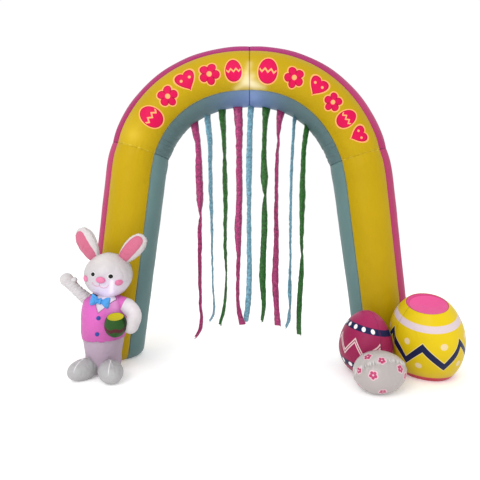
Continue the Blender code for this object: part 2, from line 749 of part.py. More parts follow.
def build_rabbit(root, tube):
    head = make_guide(ball("head_volume", HEAD, HEAD_RADII, root, 18, 11))
    body = body_volume(root)
    head_clear = grown(head, GAP, "head_clear")
    body_clear = grown(body, GAP, "body_clear")
    body_core = grown(body, -0.012, "body_core")
    build_body(root, body, head_clear, tube)
    build_head(root, head, body_core, tube)
    build_ears(root, head_clear)
    build_face(root, head_clear)
    build_bow(root, body_clear, head_clear)
    build_buttons(root, body_clear)
    holding = build_arms(root, body_clear)
    build_feet(root, body_clear)
    build_pot(root, body_clear, holding)


# ---------------------------------------------------------------- eggs
def build_yellow_egg(root, tube):
    volume = make_guide(ball("yellow_egg_volume", YELLOW_EGG, YELLOW_EGG_RADII, root, YELLOW_EGG_SEGMENTS, 12,
                             tilt=YELLOW_EGG_TILT, floor=True))
    place = volume.matrix_basis.copy()
    top_space = block("egg_top_space", (-0.5, -0.5, YELLOW_TOP_UP), (0.5, 0.5, 1.0), root)
    top_space.matrix_basis = place
    low, high = YELLOW_EGG - Vector((0.5, 0.5, 1)), YELLOW_EGG + Vector((0.5, 0.5, 1))
    above = block("egg_above_base", (low.x, low.y, YELLOW_BASE_Z), high, root)
    below = block("egg_below_base", low, (high.x, high.y, YELLOW_BASE_Z - GAP), root)
    shell = skin(volume, "egg_yellow", "yellow")
    base = skin(volume, "egg_yellow_base", "red")
    boolean(shell, top_space)
    boolean(shell, above, "INTERSECT")
    boolean(base, below, "INTERSECT")
    for piece in (shell, base):
        boolean(piece, tube)
    rim = YELLOW_EGG_RADII[1] * math.sqrt(1 - (YELLOW_TOP_UP / YELLOW_EGG_RADII[2]) ** 2)
    top_place = place @ Matrix.Translation((0, 0, YELLOW_TOP_UP - GAP))
    top = dished_disc("egg_yellow_top", top_place, rim, 0.022, "pink", root, YELLOW_EGG_SEGMENTS)
    boolean(top, grown(volume, -CLOTH - 2 * GAP, "yellow_egg_inside"), "INTERSECT")
    return volume


def build_small_eggs(root, tube, yellow):
    magenta = make_guide(ball("magenta_egg_volume", MAGENTA_EGG, (0.180, 0.218, 0.224), root, 20, 11,
                              tilt=(0, 5, 0), taper=0.13, floor=True))
    white = make_guide(ball("white_egg_volume", WHITE_EGG, (0.128, 0.145, 0.163), root, 18, 10,
                            tilt=(0, 82, 0), taper=0.06, floor=True))
    shell = skin(magenta, "egg_magenta", "magenta")
    boolean(shell, tube)
    boolean(shell, grown(yellow, GAP, "yellow_egg_clear"))
    lying = skin(white, "egg_white", "white")
    boolean(lying, grown(magenta, GAP, "magenta_egg_clear"))


# ---------------------------------------------------------------- assembly
def stand_on_origin(root):
    """Move the root so that the bottom centre of the box round every piece is the origin."""
    bpy.context.view_layer.update()
    graph = bpy.context.evaluated_depsgraph_get()
    corners = []
    for obj in bpy.context.scene.objects:
        if obj.type == "MESH" and not obj.hide_render:
            shape = obj.evaluated_get(graph)
            corners += [shape.matrix_world @ vert.co for vert in shape.data.vertices]
    low, high = ([pick(corner[axis] for corner in corners) for axis in range(2)] for pick in (min, max))
    root.location = (-(low[0] + high[0]) / 2, -(low[1] + high[1]) / 2, 0)
    bpy.context.view_layer.update()


def main():
    clear_scene()
    root = bpy.data.objects.new("arch_root", None)
    bpy.context.scene.collection.objects.link(root)
    for side in SIDES:
        for part in ("arc", "leg"):
            for facing in range(4):
                build_panel(side, part, facing, root)
        build_base(side, root)
    tube = grown(arch_volume(root), 2 * GAP, "arch_clear")
    for number, ribbon in enumerate(RIBBONS, 1):
        build_ribbon(number, ribbon, root, tube)
    build_rabbit(root, tube)
    yellow = build_yellow_egg(root, tube)
    build_small_eggs(root, tube, yellow)
    stand_on_origin(root)


main()
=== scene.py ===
"""The dressed look of an inflatable walk-through arch with ribbons, a waving rabbit and eggs."""
from bisect import bisect_right
from collections import namedtuple
from math import asin, atan2, copysign, cos, exp, hypot, pi, radians, sin, sqrt, tau

import bpy
from mathutils import Euler, Matrix, Vector, noise


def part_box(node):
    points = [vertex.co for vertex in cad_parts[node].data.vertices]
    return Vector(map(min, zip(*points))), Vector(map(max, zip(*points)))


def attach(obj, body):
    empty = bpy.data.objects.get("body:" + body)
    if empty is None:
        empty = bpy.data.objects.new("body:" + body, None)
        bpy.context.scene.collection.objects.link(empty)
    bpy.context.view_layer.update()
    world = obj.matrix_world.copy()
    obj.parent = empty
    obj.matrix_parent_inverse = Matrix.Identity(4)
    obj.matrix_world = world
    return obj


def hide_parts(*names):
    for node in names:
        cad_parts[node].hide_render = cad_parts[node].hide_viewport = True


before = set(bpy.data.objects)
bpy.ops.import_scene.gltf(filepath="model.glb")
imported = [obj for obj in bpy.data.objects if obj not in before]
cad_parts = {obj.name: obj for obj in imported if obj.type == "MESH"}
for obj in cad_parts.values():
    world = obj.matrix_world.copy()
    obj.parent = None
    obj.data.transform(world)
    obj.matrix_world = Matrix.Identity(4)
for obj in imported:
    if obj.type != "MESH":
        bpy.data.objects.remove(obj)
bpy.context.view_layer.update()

# ---------------------------------------------------------------- front, outer, back and inner panels
# The arch is a tube of coated polyester cloth that a fan keeps full of air.  Four lengthwise
# panels are sewn edge to edge; cross seams at the top and at each shoulder join the legs to the
# arcs.  Every seam draws the cloth in and leaves small puckers beside it.
Side = namedtuple("Side", "name sign spring half fullness shoulder roll foot")
SIDES = (
    Side("left", -1, 1.428, 0.808, 2.25, 1.626, 0, 0.95),
    Side("right", 1, 1.330, 0.804, 2.30, 1.575, 6, 0.92),
)
SPINE_TOP = 2.212
SPLAY = 0.12
SEAM_HALF = 0.151
PANEL_CROWN = 0.234
SEAM_PINCH = 0.030
TOP_PINCH = 0.008
PINCH_REACH = 0.055
ROLL_REACH = 0.9
BASE_CURVE = 0.055
CLOTH = 0.002
ARC_STEPS, LEG_STEPS = 240, 60
RUN_STEP = 0.02
panel_sag = PANEL_CROWN - SEAM_HALF
panel_radius = (SEAM_HALF ** 2 + panel_sag ** 2) / (2 * panel_sag)
panel_angle = asin(SEAM_HALF / panel_radius)
panel_half_width = panel_radius * panel_angle

arch_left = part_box("front_panel_left_arc")[1][0]
arch_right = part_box("front_panel_right_arc")[0][0]
base_low, base_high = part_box("outer_panel_left_leg")
arch_middle = Vector(((arch_left + arch_right) / 2, (base_low[1] + base_high[1]) / 2, 0))


def cut_cloth(name, along, across, point):
    """A grid of cloth whose points lie where point(u, v) says, u across it and v along it."""
    bpy.ops.object.select_all(action="DESELECT")
    bpy.ops.mesh.primitive_grid_add(x_subdivisions=across, y_subdivisions=along, size=1)
    cloth = bpy.context.object
    cloth.name = cloth.data.name = name
    for vert in cloth.data.vertices:
        vert.co = arch_middle + point(vert.co.x + 0.5, vert.co.y + 0.5)
    cloth.data.update()
    row = [cloth.data.vertices[along // 2 * (across + 1) + i].co for i in range(across + 1)]
    column = [cloth.data.vertices[j * (across + 1) + across // 2].co for j in range(along + 1)]
    width, length = (sum((b - a).length for a, b in zip(line, line[1:])) for line in (row, column))
    for loop in cloth.data.uv_layers.active.data:
        loop.uv = (loop.uv[0] * width, loop.uv[1] * length)
    bpy.ops.object.shade_smooth()
    return cloth


def lay_flat(cloth, low, high):
    """Set the cloth's UV map so that it runs from low to high, in metres."""
    uvs = cloth.data.uv_layers.active.data
    size = [max(loop.uv[axis] for loop in uvs) for axis in range(2)]
    for loop in uvs:
        loop.uv = [low[i] + (high[i] - low[i]) * loop.uv[i] / size[i] for i in range(2)]


def face_toward(cloth, direction):
    """Turn the cloth's faces over where they look away from this direction."""
    if sum(face.normal.dot(direction) for face in cloth.data.polygons) < 0:
        cloth.data.flip_normals()


def give_thickness(cloth, thickness=CLOTH):
    bpy.ops.object.modifier_add(type="SOLIDIFY")
    cloth.modifiers[-1].thickness = thickness
    cloth.modifiers[-1].offset = -1
    bpy.ops.object.modifier_apply(modifier=cloth.modifiers[-1].name)


def close_up(cloth):
    """Sew a grid that was wrapped round to itself, and turn its faces outward."""
    bpy.ops.object.mode_set(mode="EDIT")
    bpy.ops.mesh.select_all(action="SELECT")
    bpy.ops.mesh.remove_doubles(threshold=0.0002)
    bpy.ops.mesh.normals_make_consistent(inside=False)
    bpy.ops.object.mode_set(mode="OBJECT")


def ripple(place, size, seed=0):
    """Smooth noise from -1 to 1 with bumps of about this size."""
    return noise.noise(place / size + Vector((seed * 7.3, seed * 3.1, seed * 5.7)))


def crease(place, size, seed=0, sharp=0.10):
    """Narrow folds, 1 on a fold's line and 0 away from it."""
    return exp(-(ripple(place, size, seed) / sharp) ** 2)


def ease(share):
    """A smooth step: 0 until 0, and 1 from 1 on."""
    share = min(1.0, max(0.0, share))
    return share * share * (3 - 2 * share)


def leg_centre(side, height):
    return Vector((side.half + SPLAY * (SPINE_TOP - height), 0, height))


def share_down(side, height):
    """0 at the shoulder, and 1 where the leg turns under at its foot."""
    return min(1.0, max(0.0, (side.shoulder - height) / (side.shoulder - BASE_CURVE)))


def centre_line(side):
    """The tube's centre line from the top to the ground, x counted outward, with its lengths."""
    path = []
    for step in range(ARC_STEPS + 1):
        turn = pi / 2 * step / ARC_STEPS
        rise = (SPINE_TOP - side.spring) * max(0.0, cos(turn)) ** (2 / side.fullness)
        height = side.spring + rise
        out = side.half * sin(turn) ** (2 / side.fullness) + SPLAY * (SPINE_TOP - height)
        path.append(Vector((out, 0, height)))
    spring = path[-1]
    for step in range(1, LEG_STEPS + 1):
        path.append(spring.lerp(leg_centre(side, 0), step / LEG_STEPS))
    lengths = [0.0]
    for start, end in zip(path, path[1:]):
        lengths.append(lengths[-1] + (end - start).length)
    return path, lengths


def along_line(path, lengths, distance):
    """The centre line's point at this distance from the top; the other side's when negative."""
    reach = min(abs(distance), lengths[-1])
    at = min(bisect_right(lengths, reach), len(lengths) - 1) - 1
    share = (reach - lengths[at]) / (lengths[at + 1] - lengths[at])
    point = path[at].lerp(path[at + 1], share)
    return Vector((copysign(point.x, distance), 0, point.z))


def length_down_to(path, lengths, height):
    return next(length for point, length in zip(path, lengths) if point.z <= height)


Section = namedtuple("Section", "centre normal front scale turn")


def tube_sections(side, part, rows):
    """The tube's sections, evenly spaced along one part of one side, and each one's distance."""
    path, lengths = centre_line(side)
    seam = length_down_to(path, lengths, side.shoulder)
    foot = length_down_to(path, lengths, BASE_CURVE)
    start, stop = (0.0, seam) if part == "arc" else (seam, foot)
    curl = 0 if part == "arc" else BASE_CURVE * pi / 2
    result = []
    for row in range(rows + 1):
        distance = start + (stop - start + curl) * row / rows
        turn = max(0.0, (distance - stop) / BASE_CURVE) if curl else 0.0
        reach = min(distance, stop)
        centre = along_line(path, lengths, reach)
        ahead, behind = reach + RUN_STEP, reach - RUN_STEP
        run = along_line(path, lengths, ahead) - along_line(path, lengths, behind)
        down = share_down(side, centre.z)
        normal = Vector((-run.z, 0, run.x)).normalized().lerp(Vector((1, 0, 0)), ease(down)).normalized()
        roll = radians(side.roll) * ease(reach / ROLL_REACH)
        front = Vector((0, -cos(roll), 0)) - normal * sin(roll)
        normal = normal * cos(roll) + Vector((0, -sin(roll), 0))
        near = min(abs(reach - seam), reach)
        pinch = SEAM_PINCH if near < reach or reach > ROLL_REACH else TOP_PINCH
        scale = 1 - pinch * exp(-(near / PINCH_REACH) ** 2) - (1 - side.foot) * down
        if turn:
            centre = leg_centre(side, BASE_CURVE * (1 - sin(turn)))
            scale -= BASE_CURVE * (1 - cos(turn)) / PANEL_CROWN
        result.append((Section(centre, normal, front, scale, turn), distance, near))
    return result


def tube_surface(section, facing, across):
    """The ways a panel faces and bulges, and how far its surface is from the centre line."""
    directions = (section.front, section.normal, -section.front, -section.normal)
    outward, sideways = directions[facing], directions[(facing + 1) % 4]
    angle = across * panel_angle
    bulge = outward * cos(angle) + sideways * sin(angle)
    reach = (outward * (PANEL_CROWN - panel_radius) + bulge * panel_radius) * section.scale
    return outward, bulge, reach


# Folds across the panels where the tube bends: how far from the top, how far they reach and how
# deep they are, how much longer than wide, how much they lean and to how wide a spacing.
Fold = namedtuple("Fold", "facing distance reach depth stretch lean size seed")
FOLDS = (
    Fold(3, 1.02, 0.30, 0.0045, 0.35, 0.0, 0.075, 3),
    Fold(3, 1.04, 0.16, 0.0050, 0.30, 0.3, 0.045, 5),
    Fold(0, 1.15, 0.35, 0.0020, 0.50, 0.0, 0.110, 4),
)
PANEL_ROWS = {"arc": 150, "leg": 110}
PANEL_COLUMNS = 40
TUCK, FRONT_TUCK, TUCK_REACH = 0.0035, 0.0010, 0.012


def panel_folds(facing, across, distance, near, edge):
    """How deep a panel's puckers and folds are at one place."""
    spot = Vector((across * panel_half_width, distance, facing))
    folds = 0.0055 * exp(-near / 0.045) * ripple(Vector((spot.x, 0, facing % 4)), 0.020)
    folds += 0.0030 * exp(-edge / 0.030) * ripple(Vector((0, spot.y, spot.z)), 0.030, 1)
    folds += 0.0025 * ripple(spot, 0.16, 2)
    for fold in FOLDS:
        if fold.facing != facing % 4:
            continue
        strength = exp(-((distance - fold.distance) / fold.reach) ** 2)
        if fold.lean:
            strength *= min(1.0, max(0.0, 0.5 + across))
        line = Vector((spot.x * fold.stretch, spot.y - fold.lean * spot.x, spot.z))
        folds += fold.depth * strength * crease(line, fold.size, fold.seed)
    return folds


def build_panel(side, part, facing, name):
    """One bulging panel; facing counts front, outer, back, inner."""
    rows = PANEL_ROWS[part]
    sections = tube_sections(side, part, rows)

    def point(u, v):
        section, distance, near = sections[round(v * rows)]
        across = 2 * u - 1
        _, bulge, reach = tube_surface(section, facing, across)
        edge = (1 - abs(across)) * panel_half_width
        settled = min(1.0, edge / 0.03) * min(1.0, max(0.0, 1 - section.turn))
        tuck = (TUCK if facing else FRONT_TUCK) * exp(-near / TUCK_REACH) * min(1.0, edge / 0.01)
        folds = panel_folds(facing + 4 * side.sign, across, distance, near, edge)
        surface = section.centre + reach - bulge * (tuck + folds * settled)
        return Vector((side.sign * surface.x, surface.y, surface.z))

    cloth = cut_cloth(name, rows, PANEL_COLUMNS, point)
    outward = tube_surface(sections[rows // 2][0], facing, 0)[0]
    face_toward(cloth, Vector((side.sign * outward.x, outward.y, outward.z)))
    lay_flat(cloth, (-panel_half_width, sections[0][1]), (panel_half_width, sections[-1][1]))
    give_thickness(cloth)
    return cloth, sections[-1][1] - sections[0][1]


class Value:
    """A number, colour or vector that a shader works out; a sum or a product of it adds a node."""

    def __init__(self, net, socket):
        self.net, self.socket = net, socket

    def calc(self, operation, *others):
        return self.net.calc(operation, self, *others)

    def __add__(self, other):
        return self.calc("ADD", other)

    def __sub__(self, other):
        return self.calc("SUBTRACT", other)

    def __rsub__(self, other):
        return self.net.calc("SUBTRACT", other, self)

    def __mul__(self, other):
        return self.calc("MULTIPLY", other)

    def __truediv__(self, other):
        return self.calc("DIVIDE", other)

    def __abs__(self):
        return self.calc("ABSOLUTE")

    def sine(self):
        return self.calc("SINE")

    def cosine(self):
        return self.calc("COSINE")

    def fold(self, reach):
        """The value folded back and forth between 0 and reach."""
        return self.calc("PINGPONG", reach)

    def below(self, limit, soft=0.001):
        """1 where the value is under the limit and 0 above it, with an edge as wide as soft."""
        return self.net.add("ShaderNodeMath", self, -1 / soft, limit / soft + 0.5,
                            operation="MULTIPLY_ADD", use_clamp=True)

    def above(self, limit, soft=0.001):
        return 1.0 - self.below(limit, soft)

    def near(self, centre, half, soft=0.001):
        """1 where the value is within half of the centre."""
        return abs(self - centre).below(half, soft)

    def falloff(self):
        """1 at 0, and less and less away from it, as a bell curve goes."""
        return (self * self * -1.0).calc("EXPONENT")

    def bell(self, middle, width):
        return ((self - middle) / width).falloff()

    def spread(self, low, high, first=0.0, last=1.0):
        """The value's range from low to high, spread over first to last."""
        return self.net.add("ShaderNodeMapRange", self, low, high, first, last)


class Net:
    """Adds nodes to one shader tree; an input may be a number, a colour or a Value."""

    def __init__(self, tree):
        self.tree = tree

    def link(self, value, socket):
        if isinstance(value, Value):
            self.tree.links.new(value.socket, socket)
        elif value is not None:
            socket.default_value = value

    def place(self, kind, values, **settings):
        placed = self.tree.nodes.new(kind)
        for setting, value in settings.items():
            setattr(placed, setting, value)
        for value, socket in zip(values, placed.inputs):
            self.link(value, socket)
        return [Value(self, socket) for socket in placed.outputs]

    def add(self, kind, *values, output=0, **settings):
        return self.place(kind, values, **settings)[output]

    def calc(self, operation, *values):
        return self.add("ShaderNodeMath", *values, operation=operation)

    def vector(self, operation, *values, output=0):
        return self.add("ShaderNodeVectorMath", *values, operation=operation, output=output)

    def dot(self, first, second):
        return self.vector("DOT_PRODUCT", first, second, output=1)

    def split(self, vector):
        return self.place("ShaderNodeSeparateXYZ", [vector])

    def join(self, x, y, z=0.0):
        return self.add("ShaderNodeCombineXYZ", x, y, z)

    def noise(self, place, scale, detail, roughness):
        return self.add("ShaderNodeTexNoise", place, None, scale, detail, roughness)

    def mix(self, share, first, second):
        """The first colour where the share is 0, and the second where it is 1."""
        values = (share, None, None, None, None, None, first, second)
        return self.add("ShaderNodeMix", *values, output=2, data_type="RGBA")

    def paint(self, base, *layers):
        """The base colour under layers of (share, colour), each laid over those before it."""
        for share, colour in layers:
            base = self.mix(share, base, colour)
        return base

    def scale(self, vector, share):
        """A vector or a colour times a number."""
        return self.vector("MULTIPLY", vector, (share,) * 3)

    def group(self, group, *values):
        return self.place("ShaderNodeGroup", values, node_tree=group)


VECTORS = ("Place", "Lamp", "Centre")


def shader_group(name, inputs, outputs, build):
    """A node group with named inputs and outputs; build gives its outputs from its inputs."""
    group = bpy.data.node_groups.new(name, "ShaderNodeTree")
    for way, titles in (("INPUT", inputs), ("OUTPUT", outputs)):
        for title in titles.split():
            kind = "NodeSocketVector" if title in VECTORS else "NodeSocketFloat"
            group.interface.new_socket(title, in_out=way, socket_type=kind)
    net = Net(group)
    given = net.place("NodeGroupInput", ())[:len(inputs.split())]
    result = group.nodes.new("NodeGroupOutput")
    for value, socket in zip(build(net, *given), result.inputs):
        net.link(value, socket)
    return group


THREAD = 0.0012
RIPSTOP = 0.007


def build_weave(net, place):
    """Fine threads, with a thicker one each way at every few millimetres."""
    axes = net.split(place)[:2]
    across, along = ((axis * (tau / THREAD)).sine() for axis in axes)
    thick, thicker = (axis.fold(RIPSTOP / 2).below(0.0005, 0.0005) for axis in axes)
    return (thick.calc("MAXIMUM", thicker) * 0.6 + across * along,)


def build_creases(net, place, size):
    """Straightish narrow folds in two sizes, with soft hollows between them."""
    scale = net.calc("DIVIDE", 1.0, size)
    folds = abs(net.noise(place, scale, 1.0, 0.5) - 0.5) * 7.0
    ridges = abs(net.noise(place, scale * 3.1, 2.0, 0.55) - 0.5)
    return (ridges * 0.8 + folds.calc("MINIMUM", 1.0),)


def build_lamp(net, place, lamp, reach):
    """The light on the cloth from a lamp behind it."""
    return ((net.vector("DISTANCE", place, lamp, output=1) / reach).falloff(),)


def build_seam(net, away, along):
    """A pressed groove with a row of stitches 6 mm beside it."""
    groove = away.below(0.0025, 0.003)
    thread = away.near(0.006, 0.0009, 0.0008) * along.fold(0.0022).below(0.0015, 0.0006)
    return thread * 0.6 - groove, thread, groove


weave_group = shader_group("coated weave", "Place", "Height", build_weave)
crease_group = shader_group("cloth creases", "Place Size", "Height", build_creases)
lamp_group = shader_group("lamp behind cloth", "Place Lamp Reach", "Light", build_lamp)
seam_group = shader_group("sewn seam", "Away Along", "Height Thread Groove", build_seam)
Lamp = namedtuple("Lamp", "place reach colour")
# painted shade: the tint that darkens every cloth near the ground
NEAR_GROUND_SHADE = (0.30, 0.27, 0.25, 1)
WEAVE_DEPTH = 0.00006
SEAM_DEPTH = 0.0012


def darker(colour, share):
    return (*(channel * share for channel in colour[:3]), 1)


def cloth_material(name, colour, roughness=0.42, crease=0.16, crease_depth=0.0010, lamps=(),
                   print_and_painted_light=None, seam=None, uv_size=1.0, shine=0.16, groove_shade=0.35):
    """Coated polyester, with painted shade that darkens it near the ground.  Its print hook (net, uv,
    place, colour) gives its printed colour and any painted light and shade, seam(net, uv) the distance
    from the nearest seam and along it, each lamp lights the cloth from behind, and uv_size is the
    length in metres of one unit of the UV map."""
    material = bpy.data.materials.new(name)
    material.use_nodes = True
    net = Net(material.node_tree)
    shader = material.node_tree.nodes["Principled BSDF"].inputs
    coordinates = material.node_tree.nodes.new("ShaderNodeTexCoord").outputs
    uv, place = (Value(net, coordinates[kind]) for kind in ("UV", "Object"))
    patches = net.noise(place, 3.2, 3.0, 0.6)
    # painted shade: the cloth is darker near the ground, fading out about 8 cm up
    near_ground_shading = net.split(place)[2].below(0.03, 0.10) * 0.16
    base = net.paint(darker(colour, 0.90), (patches, darker(colour, 1.10)), (near_ground_shading, NEAR_GROUND_SHADE))
    if print_and_painted_light:
        base = print_and_painted_light(net, uv, place, base)
    weave = net.group(weave_group, net.scale(uv, uv_size))[0]
    height = weave * WEAVE_DEPTH + net.group(crease_group, place, crease)[0] * crease_depth
    if seam:
        pressed, thread, groove = net.group(seam_group, *seam(net, uv))
        height = height + pressed * SEAM_DEPTH
        base = net.paint(base, (groove * groove_shade, darker(colour, 0.35)),
                         (thread * 0.6, darker(colour, 1.35)))
    net.link(base, shader["Base Color"])
    net.link(patches.spread(0.3, 0.7, roughness - 0.06, roughness + 0.08), shader["Roughness"])
    net.link(net.add("ShaderNodeBump", 1.0, 1.0, None, height), shader["Normal"])
    shader["Specular IOR Level"].default_value = shine
    if lamps:
        light = (0, 0, 0)
        for lamp in lamps:
            share = net.group(lamp_group, place, arch_middle + Vector(lamp.place), lamp.reach)[0]
            light = net.vector("ADD", light, net.mix(share, (0, 0, 0, 1), (*lamp.colour, 1)))
        ink = net.vector("MINIMUM", net.vector("DIVIDE", base, colour), (1, 1, 1))
        net.link(net.vector("MULTIPLY", light, ink), shader["Emission Color"])
        shader["Emission Strength"].default_value = 1.0
    return material


def dress(piece, material, nodes, slot):
    """Give a finished piece its material, hang it from the root and hide the solids it stands for."""
    piece.data.materials.clear()
    piece.data.materials.append(material)
    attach(piece, "root")
    if nodes:
        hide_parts(*nodes)


# Printed shapes run along the front of each arc: distance from the top, place across, size, kind.
Motif = namedtuple("Motif", "distance across size kind")
MOTIFS = {
    "left": (
        Motif(0.868, -0.026, 0.096, "egg"), Motif(0.668, -0.018, 0.078, "flower"),
        Motif(0.488, -0.018, 0.080, "heart"), Motif(0.308, -0.018, 0.080, "flower"),
        Motif(0.122, -0.024, 0.082, "egg"),
    ),
    "right": (
        Motif(0.140, -0.022, 0.096, "egg"), Motif(0.349, -0.022, 0.078, "flower"),
        Motif(0.540, -0.010, 0.076, "heart"), Motif(0.705, -0.006, 0.070, "flower"),
        Motif(0.868, 0.000, 0.080, "egg"), Motif(1.020, 0.006, 0.066, "heart"),
    ),
}
PRINT_RED = (0.56, 0.004, 0.066, 1)
PRINT_EDGE = (0.30, 0.004, 0.030, 1)
PRINT_OUTLINE = (0.92, 0.36, 0.13, 1)


def motif_place(net, place, centre, size):
    x, y, _ = net.split(net.vector("SUBTRACT", place, centre))
    return x / size, y / size


def length_of(x, y):
    return (x * x + y * y).calc("SQRT")


def build_egg_print(net, place, centre, size):
    x, y = motif_place(net, place, centre, size)
    edge = length_of(x / (y * -0.13 + 0.76), y) - 1.0
    stripe = (y - x.fold(0.24) * 1.1).near(-0.12, 0.085, 0.03)
    return edge * size * 0.85, stripe * edge.below(-0.08, 0.02)


def build_flower_print(net, place, centre, size):
    x, y = motif_place(net, place, centre, size)
    away = length_of(x, y)
    turn = (y.calc("ARCTAN2", x) + (tau + pi / 10)).fold(pi / 5)
    petal = length_of(away * turn.cosine() - 0.62, away * turn.sine())
    edge = (petal - 0.40).calc("MINIMUM", away - 0.50)
    return edge * size, away.below(0.24, 0.05)


def build_heart_print(net, place, centre, size):
    x, y = motif_place(net, place, centre, size)
    side = abs(x)
    edge = length_of(side, y * 1.15 - side.calc("SQRT") * 0.72) - 0.92
    shine = length_of(side - 0.42, y - 0.38).below(0.13, 0.04)
    return edge * size * 0.8, shine


motif_groups = {
    kind: shader_group(kind + " print", "Place Centre Size", "Edge Mark", build)
    for kind, build in (
        ("egg", build_egg_print), ("flower", build_flower_print), ("heart", build_heart_print))
}


def printed_motifs(net, motifs):
    """How far it is to the nearest of (kind, place, centre, size, hidden) motifs, and their marks."""
    edge = mark = None
    for kind, place, centre, size, hidden in motifs:
        one_edge, one_mark = net.group(motif_groups[kind], place, centre, size)
        if hidden:
            one_edge = one_edge + hidden
        edge = edge.calc("MINIMUM", one_edge) if edge else one_edge
        mark = mark.calc("MAXIMUM", one_mark) if mark else one_mark
    return edge, mark


def arc_print(side_name):
    def print_and_painted_light(net, uv, place, base):
        across, distance, _ = net.split(uv)
        flat = net.join(distance, across)
        edge, mark = printed_motifs(net, [
            (motif.kind, flat, (motif.distance, motif.across, 0), motif.size, None)
            for motif in MOTIFS[side_name]
        ])
        cloudy = net.noise(place, 16.0, 2.0, 0.5)
        fill = net.paint(darker(PRINT_RED, 0.88), (cloudy, darker(PRINT_RED, 1.12)),
                         (mark * edge.below(-0.009, 0.002), PRINT_OUTLINE))
        fill = net.mix(edge.below(-0.006, 0.003), PRINT_EDGE, fill)
        return net.paint(base, (edge.below(0.008, 0.003), PRINT_OUTLINE), (edge.below(0.0, 0.003), fill))

    return print_and_painted_light


def lengthwise_seam(net, uv):
    across, distance, _ = net.split(uv)
    return panel_half_width - abs(across), distance


def pull_fold_shade(net, uv, place, base):
    """Painted shade: short dark folds where the inner panel is pulled round the shoulder."""
    across, distance, _ = net.split(uv)
    lines = net.join(across * 3.0, distance * 20.0 + across * -5.0)
    folds = net.noise(lines, 1.0, 0.0, 0.5).near(0.5, 0.012, 0.012)
    return net.mix(folds * distance.near(0.97, 0.09, 0.10), base, net.scale(base, 0.45))


PEACH, BEIGE = (0.72, 0.30, 0.10, 1), (0.46, 0.41, 0.14, 1)


def print_with_seam_light(side, top_seam_shade, shoulder_seam_light, edged, print_and_painted_light):
    """Painted shade in the tucks of the seams across the tube, at its top and at the shoulder, over any
    other print; at the shoulder seam of the yellow panels it is a painted highlight instead.
    An edged panel also has a pale line along each side, where its neighbours are sewn on."""
    path, lengths = centre_line(side)
    shoulder = length_down_to(path, lengths, side.shoulder)

    def seams(net, uv, place, base):
        if print_and_painted_light:
            base = print_and_painted_light(net, uv, place, base)
        beside, distance = lengthwise_seam(net, uv)
        if edged:
            edging = net.mix((net.split(uv)[0] * -1.0).below(0.0, 0.002), BEIGE, PEACH)
            base = net.mix(beside.below(0.0070, 0.004) * 0.70, base, edging)
        # painted light in the tucks: shade at the top seam, and at the shoulder seam shade, but a highlight
        # on the yellow panels
        tucks = net.noise(place, 28.0, 1.0, 0.5).spread(0.40, 0.62, 0.10, 0.60)
        low = abs(distance - shoulder).below(0.0065 if edged else 0.0032, 0.003) * tucks
        top = abs(distance).below(0.0042, 0.004) * 0.8
        return net.paint(base, (low, shoulder_seam_light), (top, top_seam_shade))

    return seams


rose_lamps = (
    Lamp((0, 0, 2.45), 0.50, (0.01, 0.0, 0.05)),
    Lamp((0.90, -0.05, 1.98), 0.36, (0.11, 0.022, 0.035)),
)
slate_lamps = (
    Lamp((0, -0.10, 2.00), 0.22, (0.045, 0.06, 0.25)),
    Lamp((0.030, -0.12, 2.02), 0.055, (0.06, 0.07, 0.13)),
)
# light from inside shows through the thin cloth beside the top seam, in rays
GLOW, FAINT_GLOW = (0.26, 0.30, 0.32), (0.15, 0.16, 0.13)
yellow_lamps = (
    Lamp((0, -0.22, 2.12), 0.13, (0.10, 0.09, 0.03)),
    *(Lamp(place, 0.034, GLOW) for place in (
        (-0.019, -0.215, 2.135), (-0.040, -0.195, 2.100), (0.010, -0.195, 2.094), (0.045, -0.183, 2.086))),
    *(Lamp(place, 0.023, FAINT_GLOW) for place in (
        (0.078, -0.178, 2.080), (0.108, -0.175, 2.074), (-0.072, -0.178, 2.078), (-0.100, -0.168, 2.066),
        (-0.024, -0.226, 2.170), (-0.008, -0.233, 2.200), (0.000, -0.234, 2.232), (0.026, -0.220, 2.148))),
    Lamp((-0.864, -0.234, 1.700), 0.048, (0.09, 0.07, 0.02)),
    Lamp((-0.880, -0.220, 1.730), 0.120, (0.10, 0.08, 0.01)),
)
YELLOW = (0.415, 0.275, 0.003)
YELLOW_SEAM_LIGHT = ((0.20, 0.125, 0.006, 1), (0.62, 0.46, 0.05, 1))
ROSE_SEAM_SHADE = ((0.060, 0.005, 0.025, 1),) * 2
SLATE_SEAM_SHADE = ((0.020, 0.035, 0.060, 1),) * 2
# tone, colours of the leg and of the arc, lamps, and the painted light at the top seam and at the
# shoulder seam: shade, but a highlight at the yellow shoulder seam
Panel = namedtuple("Panel", "tone leg arc lamps seams")
PANELS = {
    "front": Panel("yellow", YELLOW, YELLOW, yellow_lamps, YELLOW_SEAM_LIGHT),
    "outer": Panel("rose", (0.37, 0.036, 0.115), (0.31, 0.020, 0.100), rose_lamps, ROSE_SEAM_SHADE),
    "back": Panel("yellow", YELLOW, YELLOW, (), YELLOW_SEAM_LIGHT),
    "inner": Panel("slate", (0.115, 0.195, 0.195), (0.092, 0.150, 0.155), slate_lamps, SLATE_SEAM_SHADE),
}


def panel_material(side, part, facing, name):
    panel = PANELS[name]
    edged, in_arc = panel.tone == "yellow", part == "arc"
    # the front arc gets its printed motifs, the inner arc painted shade in its pulled folds
    motifs = {"front": arc_print(side.name), "inner": pull_fold_shade}.get(name) if in_arc else None
    return cloth_material(
        f"{panel.tone} cloth {side.name} {part} {facing}", panel.arc if in_arc else panel.leg, shine=0.09,
        print_and_painted_light=print_with_seam_light(side, *panel.seams, edged, motifs), seam=lengthwise_seam,
        lamps=panel.lamps if in_arc else (), groove_shade=0.0 if edged else 0.35)


